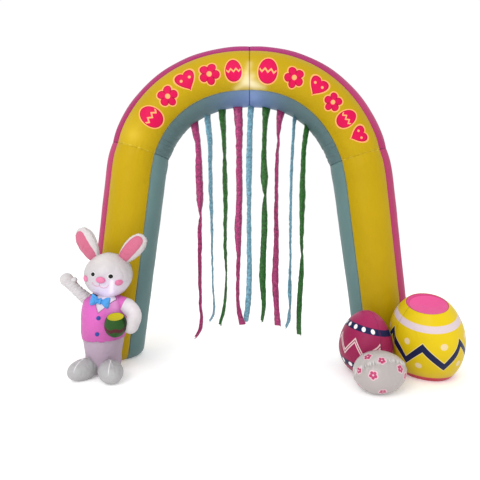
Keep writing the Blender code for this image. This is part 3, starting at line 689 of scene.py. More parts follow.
for side in SIDES:
    for part in ("arc", "leg"):
        for facing, name in enumerate(PANELS):
            node = f"{name}_panel_{side.name}_{part}"
            cloth, length = build_panel(side, part, facing, f"cloth_{node}")
            dress(cloth, panel_material(side, part, facing, name), [node], PANELS[name].tone + "_cloth")
            neighbour = "front" if name == "outer" else "outer"

# ---------------------------------------------------------------- base panels
# A flat yellow panel closes the foot of each leg and rests on the ground.  Its edge follows the
# feet of the four panels that are sewn to it.
BASE_CLOTH = 0.0015
BASE_INSET = 0.985
BASE_FILL = 0.82
UP, FRONT = Vector((0, 0, 1)), Vector((0, -1, 0))
base_cloth = cloth_material("yellow base cloth", YELLOW)
for side in SIDES:
    section = tube_sections(side, "leg", 20)[-1][0]

    def base_point(u, v):
        facing = min(3, int(4 * u))
        _, _, reach = tube_surface(section, facing, 2 * (4 * u - facing) - 1)
        spot = section.centre + reach * v * BASE_INSET
        return Vector((side.sign * spot.x, spot.y, BASE_CLOTH))

    base_sheet = cut_cloth(f"cloth_base_panel_{side.name}", 12, 96, base_point)
    close_up(base_sheet)
    face_toward(base_sheet, UP)
    give_thickness(base_sheet, BASE_CLOTH)
    dress(base_sheet, base_cloth, [f"base_panel_{side.name}"], "yellow_cloth")
    width = 2 * PANEL_CROWN * section.scale
    BASE_FILL * width ** 2

# ---------------------------------------------------------------- ribbons
# Nine strips of light satin cloth are sewn by their tops to the inner panel.  They hang free and
# twist on the way down, and their loose ends are swung aside.
# Each has the heights of its top and of the hook before its loose tail, its depth, the tail's run
# in millimetres, how far it cups, its x at even steps down in millimetres, and the way it faces
# there in degrees.
Ribbon = namedtuple("Ribbon", "colour top_z hook_z y tail cup xs faces")
RIBBON_WIDTH = 0.067
RIBBON_CLOTH = 0.0015
RIBBON_HEM = 0.03
RIBBON_SEWN = 0.05
RIBBON_GRID = (220, 10)
RIBBONS = (
    Ribbon("rose", 1.836, 0.228, 0.000, (-49, -10, -90), 0.017,
           (-445, -406, -399, -393, -393, -394, -393, -391, -385),
           (26, 55, 44, 42, 115, 121, 117, 110, 112, 100)),
    Ribbon("sky", 1.900, 0.348, 0.004, (-38, 15, -88), 0.010,
           (-339, -314, -309, -306, -300, -297, -295, -290, -281),
           (51, 56, 68, 67, 76, 83, 90, 100, 103, 95)),
    Ribbon("green", 1.950, 0.396, -0.003, (-36, -8, -158), 0.013,
           (-221, -203, -195, -191, -187, -190, -189, -184, -197),
           (30, 57, 72, 58, 66, 73, 78, 100, 107, 104)),
    Ribbon("rose", 1.975, 0.396, -0.006, (36, -52, -140), 0.017,
           (-96, -81, -78, -78, -78, -88, -84, -93, -88),
           (2, 33, 47, 42, 46, 35, 64, 76, 71, 45)),
    Ribbon("sky", 1.983, 0.392, 0.006, (-20, 34, -136), 0.019,
           (16, 8, 2, 0, -2, -2, 0, 2, -8),
           (48, 53, 46, 48, 67, 65, 58, 53, 49, 54)),
    Ribbon("green", 1.967, 0.396, 0.000, (-19, 6, -132), 0.018,
           (138, 125, 119, 122, 123, 122, 112, 107, 116),
           (18, 57, 55, 31, 118, 129, 133, 138, 111, 95)),
    Ribbon("rose", 1.937, 0.358, 0.004, (8, -6, -130), 0.018,
           (255, 231, 222, 216, 215, 218, 213, 208, 221),
           (20, 75, 104, 105, 108, 121, 130, 136, 126, 132)),
    Ribbon("sky", 1.888, 0.308, -0.004, (-29, -12, -88), 0.013,
           (365, 349, 339, 333, 329, 326, 324, 325, 319),
           (58, 71, 70, 71, 74, 78, 79, 60, 100, 85)),
    Ribbon("green", 1.824, 0.276, 0.002, (2, 8, -124), 0.017,
           (466, 440, 430, 426, 422, 418, 418, 405, 397),
           (48, 52, 49, 39, 54, 67, 111, 118, 117, 110)),
)


def smooth_value(values, place):
    """A value between table entries, on a Catmull-Rom curve; place counts entries from 0."""
    last = len(values) - 1
    at = min(int(place), last - 1)
    t = place - at
    a, b, c, d = (values[max(0, min(last, i))] for i in (at - 1, at, at + 1, at + 2))
    return b + 0.5 * t * (c - a + t * (2 * a - 5 * b + 4 * c - d + t * (3 * (b - c) + d - a)))


def build_ribbon(number, ribbon):
    """A strip along its places in millimetres, turned to its face angles; and its length."""
    top = ribbon.top_z + RIBBON_HEM
    xs = [x / 1000 for x in ribbon.xs]
    xs.append(xs[-1] + ribbon.tail[0] / 1000)
    ys = [ribbon.y] * len(ribbon.xs) + [ribbon.y + ribbon.tail[1] / 1000]
    drop = (ribbon.hook_z - top) / (len(ribbon.xs) - 1)
    zs = [top + drop * k for k in range(len(ribbon.xs))] + [ribbon.hook_z + ribbon.tail[2] / 1000]

    def point(u, v):
        place = (len(xs) - 1) * v
        face = radians(smooth_value(ribbon.faces, place))
        across = Vector((cos(face), sin(face), 0))
        front = Vector((sin(face), -cos(face), 0))
        centre = Vector((smooth_value(xs, place), smooth_value(ys, place), smooth_value(zs, place)))
        hung = min(1.0, v / RIBBON_SEWN)
        cup = hung * (ribbon.cup * (1 - (2 * u - 1) ** 2) - 0.006)
        spot = Vector((u * RIBBON_WIDTH, centre.z, number))
        wave = hung * (0.0045 * ripple(spot, 0.06) + 0.0025 * ripple(spot, 0.024, 1))
        spread = 1 + 0.14 * exp(-v / RIBBON_SEWN) + 0.10 * ripple(Vector((0, centre.z, number)), 0.028, 2)
        return centre + across * RIBBON_WIDTH * spread * (u - 0.5) + front * (cup + wave)

    strip = cut_cloth(f"ribbon_strip_{number}", *RIBBON_GRID, point)
    give_thickness(strip, RIBBON_CLOTH)
    return strip, top - ribbon.hook_z + abs(ribbon.tail[2]) / 1000


def satin_sheen_and_shade(net, uv, place, base):
    """Crushed satin: painted sheen and shade in fine lighter and darker streaks, and a painted shadow of the
    arch over the top of each strip.
    """
    across, along, _ = net.split(uv)
    crush = net.noise(net.join(across + along * 0.5, along), 55.0, 3.0, 0.60).spread(0.36, 0.64)
    crinkle_sheen = net.mix(crush, net.scale(base, 0.60), net.scale(base, 1.42))
    # painted shadow of the arch, darkest at the sewn top and fading out about 12 cm down
    return net.mix(along.below(0.06, 0.12) * 0.75, crinkle_sheen, net.scale(base, 0.55))


RIBBON_TINTS = {"rose": (0.300, 0.030, 0.125), "sky": (0.130, 0.285, 0.375), "green": (0.018, 0.097, 0.015)}
ribbon_colours = {
    colour: cloth_material(f"{colour} ribbon cloth", tint, 0.34, crease=0.030, crease_depth=0.0018,
                           print_and_painted_light=satin_sheen_and_shade, shine=0.30)
    for colour, tint in RIBBON_TINTS.items()
}
for number, ribbon in enumerate(RIBBONS, 1):
    strip, length = build_ribbon(number, ribbon)
    colour = ribbon.colour
    dress(strip, ribbon_colours[colour], [f"ribbon_{number}_{colour}"], f"{colour}_cloth")
    holder = "cloth_inner_panel_left_arc" if ribbon.xs[0] < 0 else "cloth_inner_panel_right_arc"

# ---------------------------------------------------------------- rabbit's hips, vest and chest
# The rabbit is sewn from the same coated cloth and is kept full by the air of the leg behind it.
# Its body is one round bag: white below, a pink vest with a pointed neckline above, and a white
# chest let into the neckline.
BODY_X, BODY_Y = -1.030, -0.373
HEM_Z = 0.245
Row = namedtuple("Row", "z half_width half_depth")
BODY_ROWS = (
    Row(0.000, 0.070, 0.075),
    Row(0.012, 0.100, 0.105),
    Row(0.050, 0.117, 0.122),
    Row(0.120, 0.120, 0.126),
    Row(0.200, 0.132, 0.134),
    Row(HEM_Z - 0.008, 0.138, 0.137),
    Row(HEM_Z + 0.006, 0.144, 0.148),
    Row(0.300, 0.149, 0.156),
    Row(0.400, 0.149, 0.158),
    Row(0.470, 0.142, 0.152),
    Row(0.520, 0.124, 0.134),
    Row(0.552, 0.080, 0.090),
)
NECK_X, NECK_Z = -1.016, 0.446
NECK_LEFT, NECK_RIGHT, NECK_RISE = 0.052, 0.180, 0.156
NECK_TOP = 0.550
STRAP_FROM, STRAP_TO = 0.95, 1.32
NOTCH_ANGLE = 0.02
# the share of the hips' cloth that lies on the ground, and how far cloth goes in behind an edge
UNDER_SHARE = 0.12
TUCKED_IN = 0.004
BODY_RADIUS = 0.14


def clear_of_leg(side, point, gap=0.0015):
    """Cloth that leans on a leg of the arch lies flat against its front."""
    height = max(point.z, 0.0)
    scale = 1 - (1 - side.foot) * share_down(side, height)
    roll = radians(side.roll)
    centre = leg_centre(side, height)
    front = Vector((-sin(roll), -cos(roll), 0))
    normal = Vector((cos(roll), -sin(roll), 0))
    place = Vector((side.sign * point.x, point.y, point.z)) - centre
    across, ahead = abs(place.dot(normal)), place.dot(front)
    middle, radius = (PANEL_CROWN - panel_radius) * scale, panel_radius * scale
    reach = 0.0
    if across < SEAM_HALF * scale:
        reach = middle + sqrt(radius ** 2 - across ** 2)
    elif across < PANEL_CROWN * scale:
        reach = sqrt(max(0.0, radius ** 2 - (across - middle) ** 2))
    if reach and ahead < reach + gap:
        place += front * (reach + gap - ahead)
    place += centre
    return Vector((side.sign * place.x, place.y, point.z))


def wrap_cloth(name, along, around, point, low=None, high=None):
    """Cloth sewn into a closed bag: u runs round it and v from one end to the other."""
    cloth = cut_cloth(name, along, around, point)
    if low:
        lay_flat(cloth, low, high)
    close_up(cloth)
    return cloth


def stuff(piece, material, nodes, slot):
    """Dress a bag that is kept full, or a stuffed pad."""
    dress(piece, material, nodes, slot)


def body_size(z):
    """The body's half width and half depth at this height."""
    heights, *sizes = zip(*BODY_ROWS)
    last = len(heights) - 1
    at = max(i for i in range(last) if heights[i] <= z or i == 0)
    place = at + (z - heights[at]) / (heights[at + 1] - heights[at])
    return [smooth_value(size, min(float(last), max(0.0, place))) for size in sizes]


def body_point(angle, z, out=0.0):
    """A point on the body; the angle runs from the front toward the pot."""
    half_width, half_depth = body_size(z)
    side = Vector((sin(angle), -cos(angle), 0))
    spot = Vector((angle * BODY_RADIUS, 0, z))
    fold = 0.0022 * ripple(spot, 0.045, 11) - 0.0016 * crease(Vector((spot.x * 0.6, 0, z)), 0.05, 12)
    width, depth = half_width + out + fold, half_depth + out + fold
    surface = Vector((BODY_X + side.x * width, BODY_Y + side.y * depth, z))
    return clear_of_leg(SIDES[0], surface, 0.0025 + max(0.0, out))


def body_front(x, z):
    half_width, half_depth = body_size(z)
    return BODY_Y - half_depth * sqrt(max(0.0, 1 - ((x - BODY_X) / half_width) ** 2))


def neckline_z(angle):
    """Height of the vest's upper edge: the neckline in front, the neck elsewhere."""
    if cos(angle) < 0:
        return NECK_TOP
    height = NECK_Z
    for _ in range(6):
        x = BODY_X + sin(angle) * body_size(height)[0]
        reach = NECK_LEFT if x < NECK_X else NECK_RIGHT
        height = min(NECK_TOP, NECK_Z + NECK_RISE * abs(x - NECK_X) / reach)
    return height + (NECK_TOP - height) * ease((angle - STRAP_FROM) / (STRAP_TO - STRAP_FROM))


def hips_point(u, v):
    angle = tau * (u - 0.5)
    if v < UNDER_SHARE:
        base = body_point(angle, 0.0)
        return Vector((BODY_X, BODY_Y, 0)).lerp(Vector((base.x, base.y, 0)), v / UNDER_SHARE)
    height = (HEM_Z + TUCKED_IN) * ((v - UNDER_SHARE) / (1 - UNDER_SHARE)) ** 1.2
    return body_point(angle, height)


def vest_point(u, v):
    angle = tau * (u - 0.5)
    notch = 0.013 * exp(-((angle - NOTCH_ANGLE) / 0.085) ** 2)
    notch -= 0.006 * exp(-((angle - NOTCH_ANGLE) / 0.25) ** 2)
    low, high = HEM_Z + notch, neckline_z(angle)
    height = low + (high - low) * v
    turned = 0.0025 * exp(-(height - low) / 0.006)
    gathers = 0.003 * exp(-(height - low) / 0.03) * ripple(Vector((angle * BODY_RADIUS, 0, 0)), 0.018, 13)
    return body_point(angle, height, 0.002 - turned + gathers)


def chest_point(u, v):
    share = (NECK_TOP - NECK_Z) / NECK_RISE
    left = asin((NECK_X - NECK_LEFT * share - BODY_X) / BODY_RADIUS)
    right = asin(min(0.98, (NECK_X + NECK_RIGHT * share - BODY_X) / BODY_RADIUS))
    angle = left + (right - left) * u
    low = neckline_z(angle) - TUCKED_IN
    return body_point(angle, low + (NECK_TOP + 0.003 - low) * v, -0.0025)


def side_seam(size, first=pi / 2):
    """The seams of a bag whose UV map is in radians: one down each side, half a turn apart."""

    def seam(net, uv):
        turn, rise, _ = net.split(uv)
        away = (turn + (first + tau)).fold(pi / 2)
        return away * (rise.cosine() * size), rise * size

    return seam


VEST_GIRTH, VEST_LENGTH = 0.92, 0.28
VEST_PINK = (0.43, 0.090, 0.30)
PIPING, LINING_EDGE = (0.10, 0.018, 0.075, 1), (0.60, 0.45, 0.55, 1)
WHITE = (0.43, 0.405, 0.41)
rabbit_lamps = (
    Lamp((-1.01, -0.50, 0.82), 0.10, (0.17, 0.16, 0.145)),
    Lamp((-0.88, -0.50, 0.70), 0.10, (0.10, 0.09, 0.09)),
    Lamp((-0.99, -0.54, 0.575), 0.07, (0.10, 0.08, 0.12)),
    Lamp((-0.95, -0.54, 0.58), 0.11, (0.16, 0.10, 0.28)),
    *(Lamp(place, 0.015, (0.20, 0.18, 0.22)) for place in (
        (-0.938, -0.495, 0.578), (-0.933, -0.509, 0.594), (-0.929, -0.519, 0.610),
        (-0.925, -0.527, 0.627), (-0.922, -0.532, 0.644), (-0.920, -0.536, 0.662))),
    Lamp((-0.82, -0.45, 0.44), 0.15, (0.30, 0.27, 0.29)),
    Lamp((-0.965, -0.50, 0.520), 0.060, (0.34, 0.30, 0.34)),
)
vest_lamps = (
    Lamp((-1.02, -0.54, 0.44), 0.15, (0.22, 0.035, 0.18)),
    Lamp((-0.900, -0.50, 0.505), 0.060, (0.38, 0.32, 0.42)),
)
white_cloth = cloth_material("white rabbit cloth", WHITE, crease=0.07, crease_depth=0.0018,
                             lamps=rabbit_lamps)
head_cloth = cloth_material("white head cloth", WHITE, 0.34, crease=0.10, crease_depth=0.0024, shine=0.3,
                            lamps=rabbit_lamps, seam=side_seam(0.16), uv_size=0.16)
# painted shade: the hips' white cloth is given a darker, lilac colour than the body's
shaded_hips_cloth = cloth_material("white hips cloth", (0.37, 0.285, 0.36), crease=0.09, crease_depth=0.0014)


def vest_seam(net, uv):
    """The vest's seams are its hem and its neckline."""
    along, up, _ = net.split(uv)
    return up.calc("MINIMUM", VEST_LENGTH - up), along


def vest_print(net, uv, place, base):
    """Dark piping along the neckline, and a white edge of lining that shows at the hem."""
    up = net.split(uv)[1]
    neckline = up.above(VEST_LENGTH - 0.0045, 0.002) * 0.8
    return net.paint(base, (neckline, PIPING), (up.below(0.003, 0.002) * 0.5, LINING_EDGE))


pink_cloth = cloth_material("pink vest cloth", VEST_PINK, crease=0.12, crease_depth=0.0016,
                            print_and_painted_light=vest_print, lamps=vest_lamps, seam=vest_seam)
hips = wrap_cloth("rabbit_hips_bag", 60, 96, hips_point)
give_thickness(hips)
stuff(hips, shaded_hips_cloth, ["rabbit_hips"], "white_cloth")
vest = wrap_cloth("rabbit_vest_cloth", 90, 360, vest_point, (0, 0), (VEST_GIRTH, VEST_LENGTH))
give_thickness(vest)
stuff(vest, pink_cloth, ["rabbit_vest"], "pink_cloth")
chest = wrap_cloth("rabbit_chest_cloth", 30, 60, chest_point)
give_thickness(chest)
stuff(chest, white_cloth, ["rabbit_chest"], "white_cloth")

# ---------------------------------------------------------------- rabbit's head and face
# The head is a white ball gathered at its crown.  Nose and cheeks are small stuffed pads sewn on,
# the eyes are black pads on a white patch, and the mouth is a line of pink thread.
HEAD = Vector((-0.992, -0.390, 0.686))
HEAD_RADII = (0.163, 0.165, 0.155)
HEAD_ROLL = 7
CROWN_FROM, CROWN_REACH = 0.9, 0.67
PAD_AROUND, PAD_UPWARD = 0.164, 0.16
PAD_TOP = 0.7
# the ends of a round bag stop just short of its poles, where they are sewn shut
POLE = pi / 2 * 0.9999
BALL_LOW, BALL_HIGH = (-pi, -pi / 2), (pi, pi / 2)


def head_point(sideways, up, out=0.0):
    """A point on the head, from angles in radians off the way the face looks."""
    turned = Euler((-up, 0, sideways)).to_matrix()
    direction = Matrix.Rotation(radians(HEAD_ROLL), 3, "Y") @ turned @ FRONT
    reach = 1 / sqrt(sum((direction[axis] / HEAD_RADII[axis]) ** 2 for axis in range(3)))
    crown = max(0.0, (up - CROWN_FROM) / CROWN_REACH)
    gathers = 0.0035 * crown * ripple(Vector((sideways * 2.2, up * 1.2, 0)), 1.0, 14)
    folds = 0.0022 * ripple(direction, 0.30, 15) - 0.0018 * crease(direction, 0.45, 16, 0.08)
    return HEAD + direction * (reach + out + gathers + folds)


def ball_angles(u, v):
    """How far round a ball a place is, from its front, and how far up or down from its middle."""
    return tau * (u - 0.5), POLE * (2 * v - 1)


head = wrap_cloth("rabbit_head_bag", 110, 140, lambda u, v: head_point(*ball_angles(u, v)),
                  BALL_LOW, BALL_HIGH)
give_thickness(head)
stuff(head, head_cloth, ["rabbit_head"], "white_cloth")


def sewn_pad(name, surface, half_width, half_height, bulge, rings=16, spokes=36):
    """A stuffed pad: surface(a, b, out) is the place a sideways, b up and out from its middle."""

    def point(u, v):
        turn, over = tau * u, v / PAD_TOP * pi / 2
        if v < PAD_TOP:
            reach, rise = sin(over), bulge * cos(over) ** 0.8
        else:
            reach, rise = (1 - v) / (1 - PAD_TOP), -0.0006
        a, b = reach * half_width * cos(turn), reach * half_height * sin(turn)
        return surface(a, b, rise + 0.0012)

    return wrap_cloth(name, rings, spokes, point)


def on_head(sideways, up):
    """The surface for a pad that is sewn to the head at these angles, in degrees."""
    side, rise = radians(sideways), radians(up)
    around = PAD_AROUND * cos(rise)
    return lambda a, b, out: head_point(side + a / around, rise + b / PAD_UPWARD, out)


coral_cloth = cloth_material("coral pad cloth", (0.62, 0.165, 0.31), crease=0.03, shine=0.3)
black_cloth = cloth_material("black eye cloth", (0.01, 0.01, 0.01), 0.3, crease=0.02, crease_depth=0.0004)
bright_cloth = cloth_material("bright eye patch", (0.74, 0.72, 0.72), crease=0.03, crease_depth=0.0004)
thread = cloth_material("pink mouth thread", (0.62, 0.20, 0.28), crease=0.01, crease_depth=0.0003)
Pad = namedtuple("Pad", "node sideways up half_width half_height bulge material slot")
PADS = (
    Pad("rabbit_nose", 2, -5, 0.031, 0.021, 0.019, coral_cloth, "coral_cloth"),
    Pad("rabbit_cheek_left", -45, -9, 0.029, 0.021, 0.008, coral_cloth, "coral_cloth"),
    Pad("rabbit_cheek_right", 45, -9, 0.031, 0.021, 0.008, coral_cloth, "coral_cloth"),
    Pad("rabbit_eye_left", -19, 5.5, 0.0160, 0.0138, 0.005, black_cloth, "black_cloth"),
    Pad("rabbit_eye_right", 23, 5.5, 0.0155, 0.0138, 0.005, black_cloth, "black_cloth"),
)
PATCH_RIM, PATCH_HALF_HEIGHT = 0.0036, 0.0174
for pad in PADS:
    surface = on_head(pad.sideways, pad.up)
    piece = sewn_pad(pad.node + "_pad", surface, pad.half_width, pad.half_height, pad.bulge)
    stuff(piece, pad.material, [pad.node], pad.slot)
    if "eye" in pad.node:
        patch = sewn_pad(pad.node + "_patch", surface, pad.half_width + PATCH_RIM, PATCH_HALF_HEIGHT, 0.0012)
        stuff(patch, bright_cloth, [], "white_cloth")

# the mouth, as stitched lines of (sideways, up) degrees on the head
MOUTH_WIDTH = 0.0024
MOUTH = {
    "left": ((-19, -13.5), (-16, -18.5), (-10, -21.5), (-3.5, -21.0), (-0.5, -17.0)),
    "right": ((-0.5, -17.0), (2.0, -22.5), (9.0, -24.5), (17, -22.0), (21, -16.0)),
    "middle": ((0.5, -11.0), (0.0, -14.0), (-0.5, -17.0)),
}
for side_name, line in MOUTH.items():

    def mouth_point(u, v):
        place = v * (len(line) - 1)
        sideways, up = (radians(smooth_value(column, place)) for column in zip(*line))
        ahead, behind = min(len(line) - 1, place + 0.1), max(0.0, place - 0.1)
        run = [smooth_value(column, ahead) - smooth_value(column, behind) for column in zip(*line)]
        size = hypot(*run)
        step = (u - 0.5) * MOUTH_WIDTH / PAD_UPWARD
        return head_point(sideways - step * run[1] / size, up + step * run[0] / size, 0.0016)

    stitch = cut_cloth(f"rabbit_mouth_{side_name}", 40, 3, mouth_point)
    face_toward(stitch, FRONT)
    give_thickness(stitch, 0.0012)
    dress(stitch, thread, [], "coral_cloth")

# ---------------------------------------------------------------- rabbit's ears
# Each ear is a flat bag with a pink lining sewn to its front; its rim is crumpled by the seam.
Ear = namedtuple("Ear", "name centre lean turn half_width lining_half_width")
EARS = (
    Ear("left", Vector((-1.133, -0.385, 0.890)), -27, -30, 0.078, 0.058),
    Ear("right", Vector((-0.833, -0.385, 0.860)), 43, -8, 0.066, 0.048),
)
EAR_HALF_DEPTH = 0.050
EAR_HALF_LENGTH = 0.135
EAR_RIM = 0.011
EAR_TAPER = -0.28


def ear_point(ear, across, along, front, out=0.0):
    """A point of an ear; across and along run from -1 to 1 and front is 1, 0 or -1 of its depth."""
    narrow = 1 - EAR_TAPER * along
    spot = Vector((across * ear.half_width * narrow, -front * EAR_HALF_DEPTH * narrow,
                   along * EAR_HALF_LENGTH))
    rim = exp(-abs(front) / 0.35)
    round_rim = Vector((atan2(across, along) * 1.6, front, 0))
    spot *= 1 + rim * (0.070 * ripple(round_rim, 0.22, 17) + 0.040 * ripple(round_rim, 0.11, 19))
    spot += Vector((0, 0.0030 * crease(spot, 0.05, 18), 0)) * front
    lean = Euler((0, radians(ear.lean), 0)).to_matrix()
    tilt = lean @ Euler((0, 0, radians(ear.turn))).to_matrix()
    return ear.centre + tilt @ (spot + Vector((0, -out * max(0.0, front), 0)))


# painted light: the ears' white cloth is given a lighter colour than the body's
ear_cloth = cloth_material("white ear cloth", (0.56, 0.515, 0.52), crease=0.05, crease_depth=0.0026,
                           seam=side_seam(0.09), uv_size=0.09)
lining_cloth = cloth_material("pink lining cloth", (0.50, 0.122, 0.20), crease=0.06, crease_depth=0.0014)
for ear in EARS:

    def ear_bag(u, v):
        turn, rise = tau * u, POLE * (2 * v - 1)
        return ear_point(ear, cos(rise) * sin(turn), sin(rise), cos(rise) * cos(turn))

    def ear_lining(u, v):
        turn = tau * u
        lining = ear.lining_half_width / ear.half_width
        length = 1 - EAR_RIM / EAR_HALF_LENGTH
        square = 0.96 / (sin(turn) ** 4 + cos(turn) ** 4) ** 0.12
        across, along = v * lining * sin(turn) * square, v * length * cos(turn) * square
        across *= (1 - EAR_TAPER * along) ** -0.7
        front = sqrt(max(0.0, 1 - across ** 2 - along ** 2))
        return ear_point(ear, across, along, front, 0.0022 if v < 0.97 else 0.0010)

    bag = wrap_cloth(f"rabbit_ear_{ear.name}_bag", 70, 80, ear_bag, BALL_LOW, BALL_HIGH)
    stuff(bag, ear_cloth, [f"rabbit_ear_{ear.name}"], "white_cloth")
    lining = wrap_cloth(f"rabbit_ear_{ear.name}_lining", 30, 72, ear_lining)
    face_toward(lining, FRONT)
    give_thickness(lining, 0.001)
    stuff(lining, lining_cloth, [f"rabbit_ear_lining_{ear.name}"], "coral_cloth")

# ---------------------------------------------------------------- rabbit's bow tie and buttons
# A stuffed blue bow is sewn below the chin, gathered where its knot goes round it, and two navy
# pads are sewn on the vest for buttons.
BOW = Vector((-1.003, body_front(-1.003, 0.520) - 0.018, 0.524))
bow_roll = Matrix.Rotation(radians(12), 3, "Y")
BOW_OUT = (-0.066, -0.065, -0.060, -0.040, -0.014, 0.0, 0.014, 0.040, 0.060, 0.065, 0.066)
BOW_HEIGHTS = (0.0, 0.024, 0.037, 0.032, 0.014, 0.012, 0.014, 0.032, 0.037, 0.024, 0.0)
BOW_DEPTHS = (0.0, 0.006, 0.015, 0.020, 0.010, 0.009, 0.010, 0.020, 0.015, 0.006, 0.0)
KNOT_RADII = (0.015, 0.021, 0.022)


def bow_point(u, v):
    place, turn = 10 * v, tau * u
    out, height = smooth_value(BOW_OUT, place), max(0.0, smooth_value(BOW_HEIGHTS, place))
    depth = max(0.0, smooth_value(BOW_DEPTHS, place))
    pleat = 1 + 0.26 * exp(-abs(out) / 0.04) * cos(7 * turn) * min(1.0, abs(out) / 0.01)
    return BOW + bow_roll @ Vector((out, depth * cos(turn) * pleat, height * sin(turn) * pleat))


def knot_point(u, v):
    turn, rise = tau * u, POLE * (2 * v - 1)
    squeeze = 1 - 0.10 * abs(sin(3 * turn))
    width, depth, height = KNOT_RADII
    spot = Vector((width * cos(rise) * cos(turn), depth * cos(rise) * sin(turn), height * sin(rise)))
    return BOW + bow_roll @ (spot * squeeze)


blue_cloth = cloth_material("blue bow cloth", (0.055, 0.27, 0.62), 0.32, crease=0.025, crease_depth=0.0026,
                            shine=0.3)
navy_cloth = cloth_material("navy button cloth", (0.022, 0.06, 0.28), crease=0.02, crease_depth=0.0005)
bow = wrap_cloth("rabbit_bow_pad", 70, 48, bow_point)
stuff(bow, blue_cloth, ["rabbit_bow"], "blue_cloth")
knot = wrap_cloth("rabbit_bow_knot_pad", 24, 36, knot_point)
stuff(knot, blue_cloth, ["rabbit_bow_knot"], "blue_cloth")


def on_vest(x, z):
    return lambda a, b, out: Vector((x + a, body_front(x + a, z + b) - 0.003 - out, z + b))


for place, x, z in (("upper", -1.011, 0.413), ("lower", -1.020, 0.305)):
    button = sewn_pad(f"rabbit_button_{place}_pad", on_vest(x, z), 0.0145, 0.0145, 0.005)
    stuff(button, navy_cloth, [f"rabbit_button_{place}"], "navy_cloth")

# ---------------------------------------------------------------- rabbit's arms
# Two stuffed sleeves of white cloth: one waves, with a thumb sewn to its mitten, and one bends
# round to hold the pot.  The seams twist them into slanting folds.


def sleeve(name, joints, around=48, along=80, seed=20, depth=0.0030):
    """A closed sleeve along (x, y, z, radius) joints."""
    columns = list(zip(*joints))
    last = len(joints) - 1
    length = sum((Vector(b[:3]) - Vector(a[:3])).length for a, b in zip(joints, joints[1:]))

    def centre(place):
        return Vector([smooth_value(column, place) for column in columns[:3]])

    def point(u, v):
        low, high = joints[0][3], joints[-1][3]
        run = v * (low + length + high) - low
        place = last * min(1.0, max(0.0, run / length))
        shift = run - min(length, max(0.0, run))
        radius = smooth_value(columns[3], place)
        if shift:
            radius = sqrt(max(0.0, radius ** 2 - shift ** 2))
        along_way = (centre(min(last, place + 0.05)) - centre(max(0.0, place - 0.05))).normalized()
        side = along_way.cross(Vector((0, 1, 0))).normalized()
        other = along_way.cross(side)
        turn = tau * u
        outward = side * cos(turn) + other * sin(turn)
        spot = centre(place) + along_way * shift + outward * radius
        slant = Vector((0.35 * (spot.x + spot.z), 0.35 * spot.y, 1.2 * (spot.z - spot.x) + 0.4 * spot.x))
        full = min(1.0, radius / (0.7 * joints[0][3]))
        fold = -0.6 * depth * full * crease(slant, 0.026, seed, 0.16)
        fold += 0.4 * depth * full * ripple(slant, 0.022, seed + 1)
        return spot + outward * fold

    return wrap_cloth(name, along, around, point)


WAVING = (
    (-1.100, -0.385, 0.476, 0.048),
    (-1.152, -0.395, 0.526, 0.042),
    (-1.218, -0.405, 0.590, 0.038),
    (-1.278, -0.410, 0.656, 0.045),
)
THUMB = ((-1.262, -0.412, 0.635, 0.022), (-1.238, -0.415, 0.648, 0.022), (-1.220, -0.416, 0.654, 0.019))
HOLDING = (
    (-0.900, -0.385, 0.484, 0.050),
    (-0.842, -0.403, 0.458, 0.053),
    (-0.796, -0.440, 0.408, 0.049),
    (-0.806, -0.490, 0.350, 0.052),
)
thumb = sleeve("rabbit_thumb", THUMB, around=30, along=30, seed=24, depth=0.0012)
# painted light: the waving arm's white cloth is given a lighter colour than the body's
arm_cloth = cloth_material("white arm cloth", (0.50, 0.475, 0.48), 0.32, crease=0.09, crease_depth=0.0012,
                           lamps=rabbit_lamps, shine=0.35)
waving = sleeve("rabbit_waving_arm", WAVING, around=56, along=110, depth=0.0048)
bpy.ops.object.select_all(action="DESELECT")
thumb.select_set(True)
waving.select_set(True)
bpy.context.view_layer.objects.active = waving
bpy.ops.object.join()
stuff(waving, arm_cloth, ["rabbit_arm_waving"], "white_cloth")
# the armhole's line on the sleeve: its x at this height, and how it leans outward going up
ARMHOLE_X, ARMHOLE_Z, ARMHOLE_LEAN = -0.873, 0.500, 0.45


def armhole_print(net, uv, place, base):
    """The vest's cloth reaches over the top of the sleeve as far as the armhole, and ends in piping."""
    x, _, z = net.split(net.vector("SUBTRACT", place, arch_middle))
    past = x - (z * ARMHOLE_LEAN + (ARMHOLE_X - ARMHOLE_LEAN * ARMHOLE_Z))
    return net.paint(base, (past.below(0.0, 0.002), (*VEST_PINK, 1)),
                     (past.near(0.0, 0.0015, 0.0015) * 0.6, PIPING))


holding_cloth = cloth_material("white sleeve cloth", WHITE, crease=0.07, crease_depth=0.0018,
                               print_and_painted_light=armhole_print, lamps=rabbit_lamps)
holding = sleeve("rabbit_holding_arm", HOLDING, seed=26)
stuff(holding, holding_cloth, ["rabbit_arm_holding"], "white_cloth")

# ---------------------------------------------------------------- rabbit's feet
# Two big white feet lie flat on the ground, each with a seam that stands up along its top.
Foot = namedtuple("Foot", "name centre turn half_length seam_turn")
FEET = (
    Foot("left", Vector((-1.120, -0.508, 0.062)), -35, 0.112, -0.5),
    Foot("right", Vector((-0.922, -0.553, 0.063)), 30, 0.125, 0.5),
)


FOOT_HALF_WIDTH, FOOT_HALF_HEIGHT = 0.079, 0.071


def ridge_highlight(first):
    """Painted highlight: the standing seam along the top of a foot is paler than the cloth beside it."""

    def print_and_painted_light(net, uv, place, base):
        away, _ = side_seam(0.08, first)(net, uv)
        ridge = away.below(0.0026, 0.004) * net.split(place)[2].above(0.085, 0.03)
        return net.mix(ridge * 0.8, base, (0.72, 0.71, 0.73, 1))

    return print_and_painted_light


